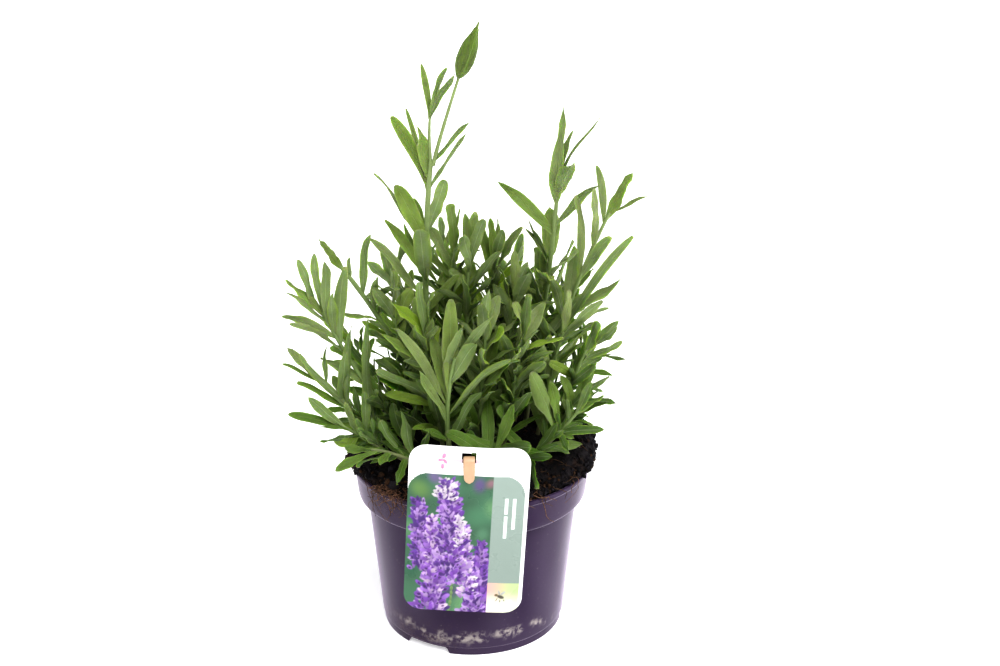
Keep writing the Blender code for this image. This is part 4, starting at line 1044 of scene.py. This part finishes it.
def cardGrid():
    # rows of a rounded rectangle: its middle columns stay straight and the outer ones stretch to the outline
    s = cardShape
    v = np.linspace(-1, 1, s["rows"]) * s["height"] / 2
    past = np.clip(np.abs(v) - (s["height"] / 2 - s["corner"]), 0, s["corner"])
    halfWidth = s["width"] / 2 - s["corner"] + np.sqrt(np.maximum(s["corner"] ** 2 - past ** 2, 0))
    u = np.linspace(-1, 1, s["columns"]) * s["width"] / 2
    inner = s["straight"]
    stretch = (halfWidth[:, None] - inner) / (s["width"] / 2 - inner)
    x = np.where(np.abs(u) <= inner, u, np.sign(u) * (inner + (np.abs(u) - inner) * stretch))
    return x, np.repeat(v[:, None], s["columns"], 1)


def dab(colours, x, z, cx, cz, long, short, turn, tone, strength=1.0, soft=0.25):
    # paints one soft-edged oval: 1 inside, falling to 0 over the soft rim, lighter towards its tip
    near = (np.abs(x - cx) < long * 1.3) & (np.abs(z - cz) < long * 1.3)
    px, pz = x[near] - cx, z[near] - cz
    c, s = math.cos(turn), math.sin(turn)
    a, b = (px * c + pz * s) / long, (pz * c - px * s) / short
    share = smoothStep((1 - np.sqrt(a * a + b * b)) / soft)[:, None] * strength
    light = (1 + 0.28 * a)[:, None] * np.array(tone)
    colours[near] = colours[near] * (1 - share) + np.clip(light, 0, 1) * share


def paintSpike(colours, x, z, foot, top, wide, draws, tones, count, size):
    # a flower spike: ovals in whorls round a line from foot to top, the lower ones first, narrowing upwards
    foot, top = np.array(foot, float), np.array(top, float)
    for i in range(count):
        t = i / count
        whorl = (math.floor(t * 7) + 0.5 + 0.42 * draws.normal()) / 7
        half = wide * (1 - 0.55 * max(whorl, 0) ** 1.6) * (0.80 + 0.2 * math.cos(whorl * 44))
        sideways = draws.uniform(-1, 1)
        cx, cz = foot + (top - foot) * whorl + (sideways * half, draws.normal(0, 0.6))
        tone = np.array(tones[draws.integers(len(tones))]) * draws.uniform(0.75, 1.15)
        turn = math.pi / 2 - sideways * 1.15 + draws.normal(0, 0.35)
        long, short = size * draws.uniform(0.75, 1.3), size * draws.uniform(0.38, 0.6)
        dab(colours, x, z, cx, cz, long, short, turn, tone, 0.92)
        if i % 3 == 0:
            dab(colours, x, z, cx, cz - 0.2, size * 0.42, size * 0.28, turn, (0.055, 0.012, 0.13), 0.8)


haze = (                         # soft patches behind the flowers: middle, size and colour
    (-24, 22, 9, (0.20, 0.38, 0.10)), (-17, 29, 6, (0.26, 0.16, 0.42)), (5.5, 26, 6.5, (0.20, 0.10, 0.36)),
    (11, 27, 4.5, (0.45, 0.22, 0.30)), (3, 8, 12, (0.10, 0.30, 0.16)), (-27, -24, 8, (0.03, 0.17, 0.09)),
    (8, -2, 6, (0.14, 0.34, 0.20)), (-6, -35, 8, (0.10, 0.06, 0.20)))
violet = ((0.16, 0.050, 0.38), (0.25, 0.085, 0.50), (0.40, 0.20, 0.66), (0.10, 0.030, 0.26),
          (0.55, 0.36, 0.78))
pale = ((0.60, 0.42, 0.80), (0.80, 0.62, 0.88), (0.40, 0.20, 0.68), (0.26, 0.09, 0.50))
white = ((0.88, 0.80, 0.93), (0.66, 0.48, 0.82), (0.92, 0.86, 0.95))
spikes = (                       # foot, top, half width, flower colours, how many flowers and their size
    ((9.0, -46), (8.0, -9), 6.5, violet, 300, 2.3), ((1.5, -36), (-1.0, 1), 5.4, pale + white[:1], 200, 2.0),
    ((-22.0, -22), (-24.6, 15), 6.6, violet, 300, 2.1), ((-16.0, -28), (-17.6, 7), 5.6, pale, 210, 2.0),
    ((-6.5, -28), (-9.6, 25), 9.4, violet + pale[:1], 560, 2.1),
    ((-11.0, 18), (-11.2, 27.5), 6.4, white + violet[:1], 90, 1.9),
    ((-2.5, -8), (-3.6, 9), 3.6, white, 44, 1.6),
    ((-17.0, -47), (-15.5, -25), 10.5, violet[1:] + pale, 260, 2.4),
    ((5.0, -49), (5.5, -36), 7.5, violet[1:] + pale[:1], 120, 2.2))


def paintCard(x, z):
    # colours for the front: white card, a picture with two round top corners, a pale strip and a corner box
    draws = np.random.default_rng(5)
    colours = np.tile((0.94, 0.94, 0.95), (len(x), 1))
    right, top, bend = 28.8, 31.3, 11.0
    outX, outZ = np.maximum(np.abs(x + 0.9) - (29.7 - bend), 0), np.maximum(z - (top - bend), 0)
    panel = (np.hypot(outX, outZ) < bend) & (z < top) & (x < right)
    strip, picture = panel & (x >= 12.4), panel & (x < 12.4)
    corner = strip & (z < -29.0)
    blur = lumpNoise(np.c_[x, z, 0 * x], 13.0, 3)[:, None]
    picked = np.array((0.085, 0.245, 0.135)) * (1 - 0.35 * blur)
    picked = picked + np.array((0.10, 0.12, 0.02)) * np.maximum(-blur, 0)
    for cx, cz, size, tone in haze:
        dab(picked, x, z, cx, cz, size, size * 0.8, draws.uniform(0, 3), tone, 0.75, 0.9)
    for cx, low, high in ((-6.6, -47, 0), (-12.5, -47, -28), (4.5, -47, -18), (-20.0, -36, -12)):
        for k in np.linspace(low, high, 18):
            dab(picked, x, z, cx + 0.6 * math.sin(k / 7), k, 1.9, 0.85, math.pi / 2, (0.23, 0.38, 0.14), 0.9)
    for foot, top, wide, tones, count, size in spikes:
        paintSpike(picked, x, z, foot, top, wide, draws, tones, count, size)
    colours = np.where(picture[:, None], picked * (0.62, 0.60, 0.60), colours)
    fading = (1 - 0.12 * smoothStep(0.5 - z / 60))[:, None]
    colours = np.where(strip[:, None], np.array((0.265, 0.328, 0.292)) * fading, colours)
    for cx, low, high in ((23.4, 2, 19), (19.4, -3, 9), (19.4, 10.5, 19)):
        bar = (np.abs(x - cx) < 0.8) & (z > low) & (z < high) & panel
        colours[bar] = (0.80, 0.88, 0.83)
    fade = smoothStep((x - 12) / 14)[:, None]
    box = np.array((0.62, 0.36, 0.33)) * (1 - fade) + np.array((0.42, 0.52, 0.26)) * fade
    paler = smoothStep((-z - 33) / 9)[:, None] * 0.75
    box = box * (1 - paler) + np.array((0.70, 0.72, 0.60)) * paler
    colours = np.where(corner[:, None], box, colours)
    for cx, cz, long, short, turn, tone in (
            (19.5, -37.2, 2.3, 1.2, -0.35, (0.03, 0.026, 0.02)),
            (17.2, -36.2, 1.1, 0.9, 0, (0.09, 0.07, 0.02)),
            (20.6, -35.0, 1.9, 0.7, 0.7, (0.34, 0.36, 0.36)),
            (18.6, -34.7, 1.7, 0.6, 1.9, (0.28, 0.3, 0.3)),
            (17.4, -38.9, 1.2, 0.24, 1.1, (0.03, 0.03, 0.02)),
            (19.4, -39.6, 1.3, 0.24, 1.5, (0.03, 0.03, 0.02)),
            (21.4, -39.3, 1.3, 0.24, 2.0, (0.03, 0.03, 0.02)),
            (23.0, -40.6, 3.0, 1.5, 0.5, (0.88, 0.9, 0.78))):
        dab(colours, x, z, cx, cz, long, short, turn, tone, 0.9, 0.35)
    for cx, cz, long, short, turn in ((-13.0, 41.3, 1.9, 1.25, 1.2), (-14.6, 38.9, 1.7, 1.0, 0.2),
                                      (-12.3, 38.2, 1.8, 1.1, -0.9), (-13.6, 35.6, 1.9, 1.15, 1.5)):
        dab(colours, x, z, cx, cz, long, short, turn, (0.80, 0.20, 0.34), 0.95, 0.3)
    for right, cz, half, tone in ((17.0, 38.9, 1.15, (0.66, 0.50, 0.57)),
                                  (12.5, 35.8, 0.3, (0.70, 0.64, 0.68))):
        colours[(x > -9.4) & (x < right) & (np.abs(z - cz) < half)] = tone
    return colours


def makeCardMaterial():
    # the print attribute under a little dust; the back of the card is unprinted
    mat, tree, shader = newMaterial("printed_card", 0.28)
    place = objectPlace(tree)
    dots = noise(tree, place, 2200.0, 2, 0.5)
    ink = attribute(tree, "print")["Color"]
    inked = useGroup(tree, mottle, Colour=ink, Coarse=30.0, Fine=2600.0, Amount=0.06)
    dust = times(tree, ramp(tree, noise(tree, place, 420.0, 4, 0.7), 0.66, 0.74), 0.06)
    dusty = mixColour(tree, dust, inked["Colour"], (0.45, 0.38, 0.30))
    rough = ramp(tree, noise(tree, place, 60.0, 3), 0.3, 0.7, 0.24, 0.34)
    finish(tree, shader, dusty, dots, 0.05, 0.0002, Roughness=rough)
    return mat


def makeCard():
    # the front grid, its back a card's thickness behind it and walls round the outline and the slot
    s = cardShape
    u, v = cardGrid()
    a = math.radians(s["lean"])
    x = u * math.cos(a) + v * math.sin(a) + s["centre"][0]
    z = -u * math.sin(a) + v * math.cos(a) + s["centre"][2]
    clear = smoothStep((np.hypot(x, z - 119) - 9) / 12)
    bend = s["curl"] * (u / 30) ** 2 + s["wave"] * smoothStep((u - 6) / 20) * smoothStep((v - 22) / 24) * 1.6
    bend = bend - 0.45 * smoothStep((-u - 4) / 24) * smoothStep((-v - 20) / 26)
    y = s["centre"][1] + bend * clear
    front = np.stack([x, y - s["thick"] / 2, z], -1)
    back = front + (0, s["thick"], 0)
    size = s["rows"] * s["columns"]
    cells = gridFaces(s["rows"], s["columns"])
    middle = front.reshape(-1, 3)[cells].mean(1)
    x0, x1, z0, z1 = s["slot"]
    cells = cells[~((middle[:, 0] > x0) & (middle[:, 0] < x1) & (middle[:, 2] > z0) & (middle[:, 2] < z1))]
    edges = np.concatenate([cells[:, [k, (k + 1) % 4]] for k in range(4)])
    key = edges.min(1) * size + edges.max(1)
    rim = edges[np.isin(key, np.unique(key)[np.unique(key, return_counts=True)[1] == 1])]
    walls = np.stack([rim[:, 1], rim[:, 0], rim[:, 0] + size, rim[:, 1] + size], -1)
    points = np.concatenate([front.reshape(-1, 3), back.reshape(-1, 3)])
    quads = np.concatenate([cells, cells[:, ::-1] + size, walls])
    colours = np.tile((0.90, 0.90, 0.90, 1.0), (2 * size, 1))
    colours[:size, :3] = paintCard(u.ravel(), v.ravel())
    used = np.zeros(len(points), bool)
    used[quads] = True
    fresh = np.cumsum(used) - 1
    piece = meshPiece("printed_label", points[used], fresh[quads], mats=(makeCardMaterial(),),
                      colours={"print": colours[used]}, sharp=40)
    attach(piece, "root")
    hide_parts("label_card")


def pegPath():
    # side view (y, z): the point in the soil, up past the rim, a half turn over the card, the tongue in front
    s = pegShape
    backY = s["rim"][0] - 2.0
    middle, radius = (backY + s["tongueY"]) / 2, (backY - s["tongueY"]) / 2
    a = np.pi * np.arange(1, 10) / 10
    over = np.c_[middle + radius * np.cos(a), s["bendZ"] + 0.95 * radius * np.sin(a)]
    path = np.concatenate([[s["point"], s["rim"], (backY, s["bendZ"])], over,
                           [(s["tongueY"], s["bendZ"] - 1.0), (s["tongueY"], s["tongueEnd"])]])
    return resample(path, 0.8)


def makePeg():
    # a flat strip with rounded edges carried along the side view, pointed below and round at the tongue's end
    path = pegPath()
    ahead = unit(np.gradient(path, axis=0))
    across = np.c_[-ahead[:, 1], ahead[:, 0]]
    gone = np.concatenate([[0], np.cumsum(np.linalg.norm(np.diff(path, axis=0), axis=1))])
    left = gone[-1] - gone
    full = pegShape["width"] / 2
    half = np.minimum(full, 0.6 + gone * 0.22)
    half = np.minimum(half, np.sqrt(np.maximum(full ** 2 - np.maximum(full - left, 0) ** 2, 0.05)))
    half = half * (1 - 0.10 * smoothStep((8 - left) / 8))
    a = turnsRound(16)
    flat = np.sign(np.cos(a)) * np.abs(np.cos(a)) ** 0.45
    deep = np.sign(np.sin(a)) * np.abs(np.sin(a)) ** 0.6 * pegShape["thick"] / 2
    rings = np.zeros((len(path), 16, 3))
    rings[:, :, 0] = half[:, None] * flat
    rings[:, :, 1:] = path[:, None] + across[:, None] * deep[None, :, None]
    ends = np.c_[np.zeros(2), path[[0, -1]]]
    mat, tree, shader = newMaterial("peg_plastic", 0.35)
    tan = useGroup(tree, mottle, Colour=pegShape["colour"], Coarse=90.0, Fine=900.0, Amount=0.25)
    finish(tree, shader, tan["Colour"], tan["Height"], 0.15, 0.0002)
    piece = meshPiece("hooked_peg", *closedTubes(rings[None], ends[:1], ends[1:]), mats=(mat,), sharp=60)
    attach(piece, "root")
    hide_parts("label_peg")


makeCard()
makePeg()
print("label ready")

# the flower bud
budShape = dict(base=(-5.2, -3.0, 301.6), tip=(5.0, -5.0, 329.0), radius=4.7, bracts=9)
budPlaces = (0, 0.05, 0.15, 0.3, 0.45, 0.6, 0.72, 0.8, 0.88, 1.0)
budWidths = (0.22, 0.45, 0.80, 1.0, 0.97, 0.80, 0.54, 0.33, 0.20, 0.04)


def alongBud(t):
    # half width of the bud at t: fullest a third of the way up, then drawn out to a thin beak
    return budShape["radius"] * np.interp(t, budPlaces, budWidths)


def makeBud():
    # pointed scales in crossing pairs hug an oval heart: each is a thin closed blade laid on the bud's side
    base, tip = np.array(budShape["base"]), np.array(budShape["tip"])
    ahead, length = unit(tip - base), np.linalg.norm(tip - base)
    side = unit(np.cross(ahead, (0.0, 1.0, 0.0)))
    other = np.cross(ahead, side)
    s = np.linspace(0.0, 1.0, 16)
    c = np.array([-1, -0.6, 0, 0.6, 1, 0.6, 0, -0.6])
    inside = np.arange(8) > 4
    i = np.arange(budShape["bracts"])
    level = i // 2
    start, stop = np.maximum(0.085 * level - 0.01, 0), np.minimum(0.78 + 0.055 * level, 1.0)
    azimuth = math.pi * (i % 2) + 1.35 * level + 0.5
    t = start[:, None] + (stop - start)[:, None] * s
    radius = alongBud(t) * 0.93 + (0.30 - 0.08 * level)[:, None] * (0.6 + 0.9 * s)
    spread = (1.35 - 0.10 * level)[:, None] * np.sin(np.pi * (0.12 + 0.86 * s) ** 0.8) ** 0.75 + 0.03
    a = azimuth[:, None, None] + spread[..., None] * c
    r = radius[..., None] + np.where(inside, -0.26, 0.10) - 0.22 * (np.abs(c) > 0.9)
    r = r + 0.10 * (c == 0) * ~inside
    rings = base + ahead * (t * length)[..., None, None] + r[..., None] * spokes(a, side, other)
    bracts = closedTubes(rings, rings[:, 0].mean(1), rings[:, -1].mean(1))
    data = bladeData(s * 0.97, c, inside * 0.3, len(i), 0.3 * rng.uniform(0, 1, (len(i), 1)))
    core = np.linspace(0, 1, 18)
    ring = (alongBud(core) * 0.86 + 0.12)[:, None, None] * spokes(turnsRound(12), side, other)
    rings = (base + (tip - base) * core[:, None])[:, None] + ring
    heart = closedTubes(rings[None], base[None] - 0.3 * ahead, tip[None] + 0.3 * ahead)
    heartData = np.full((len(heart[0]), 4), 0.4)
    heartData[:-2, 0] = np.repeat(core, 12)
    youthsAndShade = np.repeat((0.52, 0.6), (len(data), len(heartData)))
    piece = meshPiece("closed_bud", *joined([bracts, heart]), mats=(leafMaterial,),
                      colours={"blade": np.concatenate([data, heartData])},
                      values={"youth_and_shade": youthsAndShade}, sharp=60)
    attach(piece, "root")
    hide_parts("flower_bud")


makeBud()
print("bud ready")
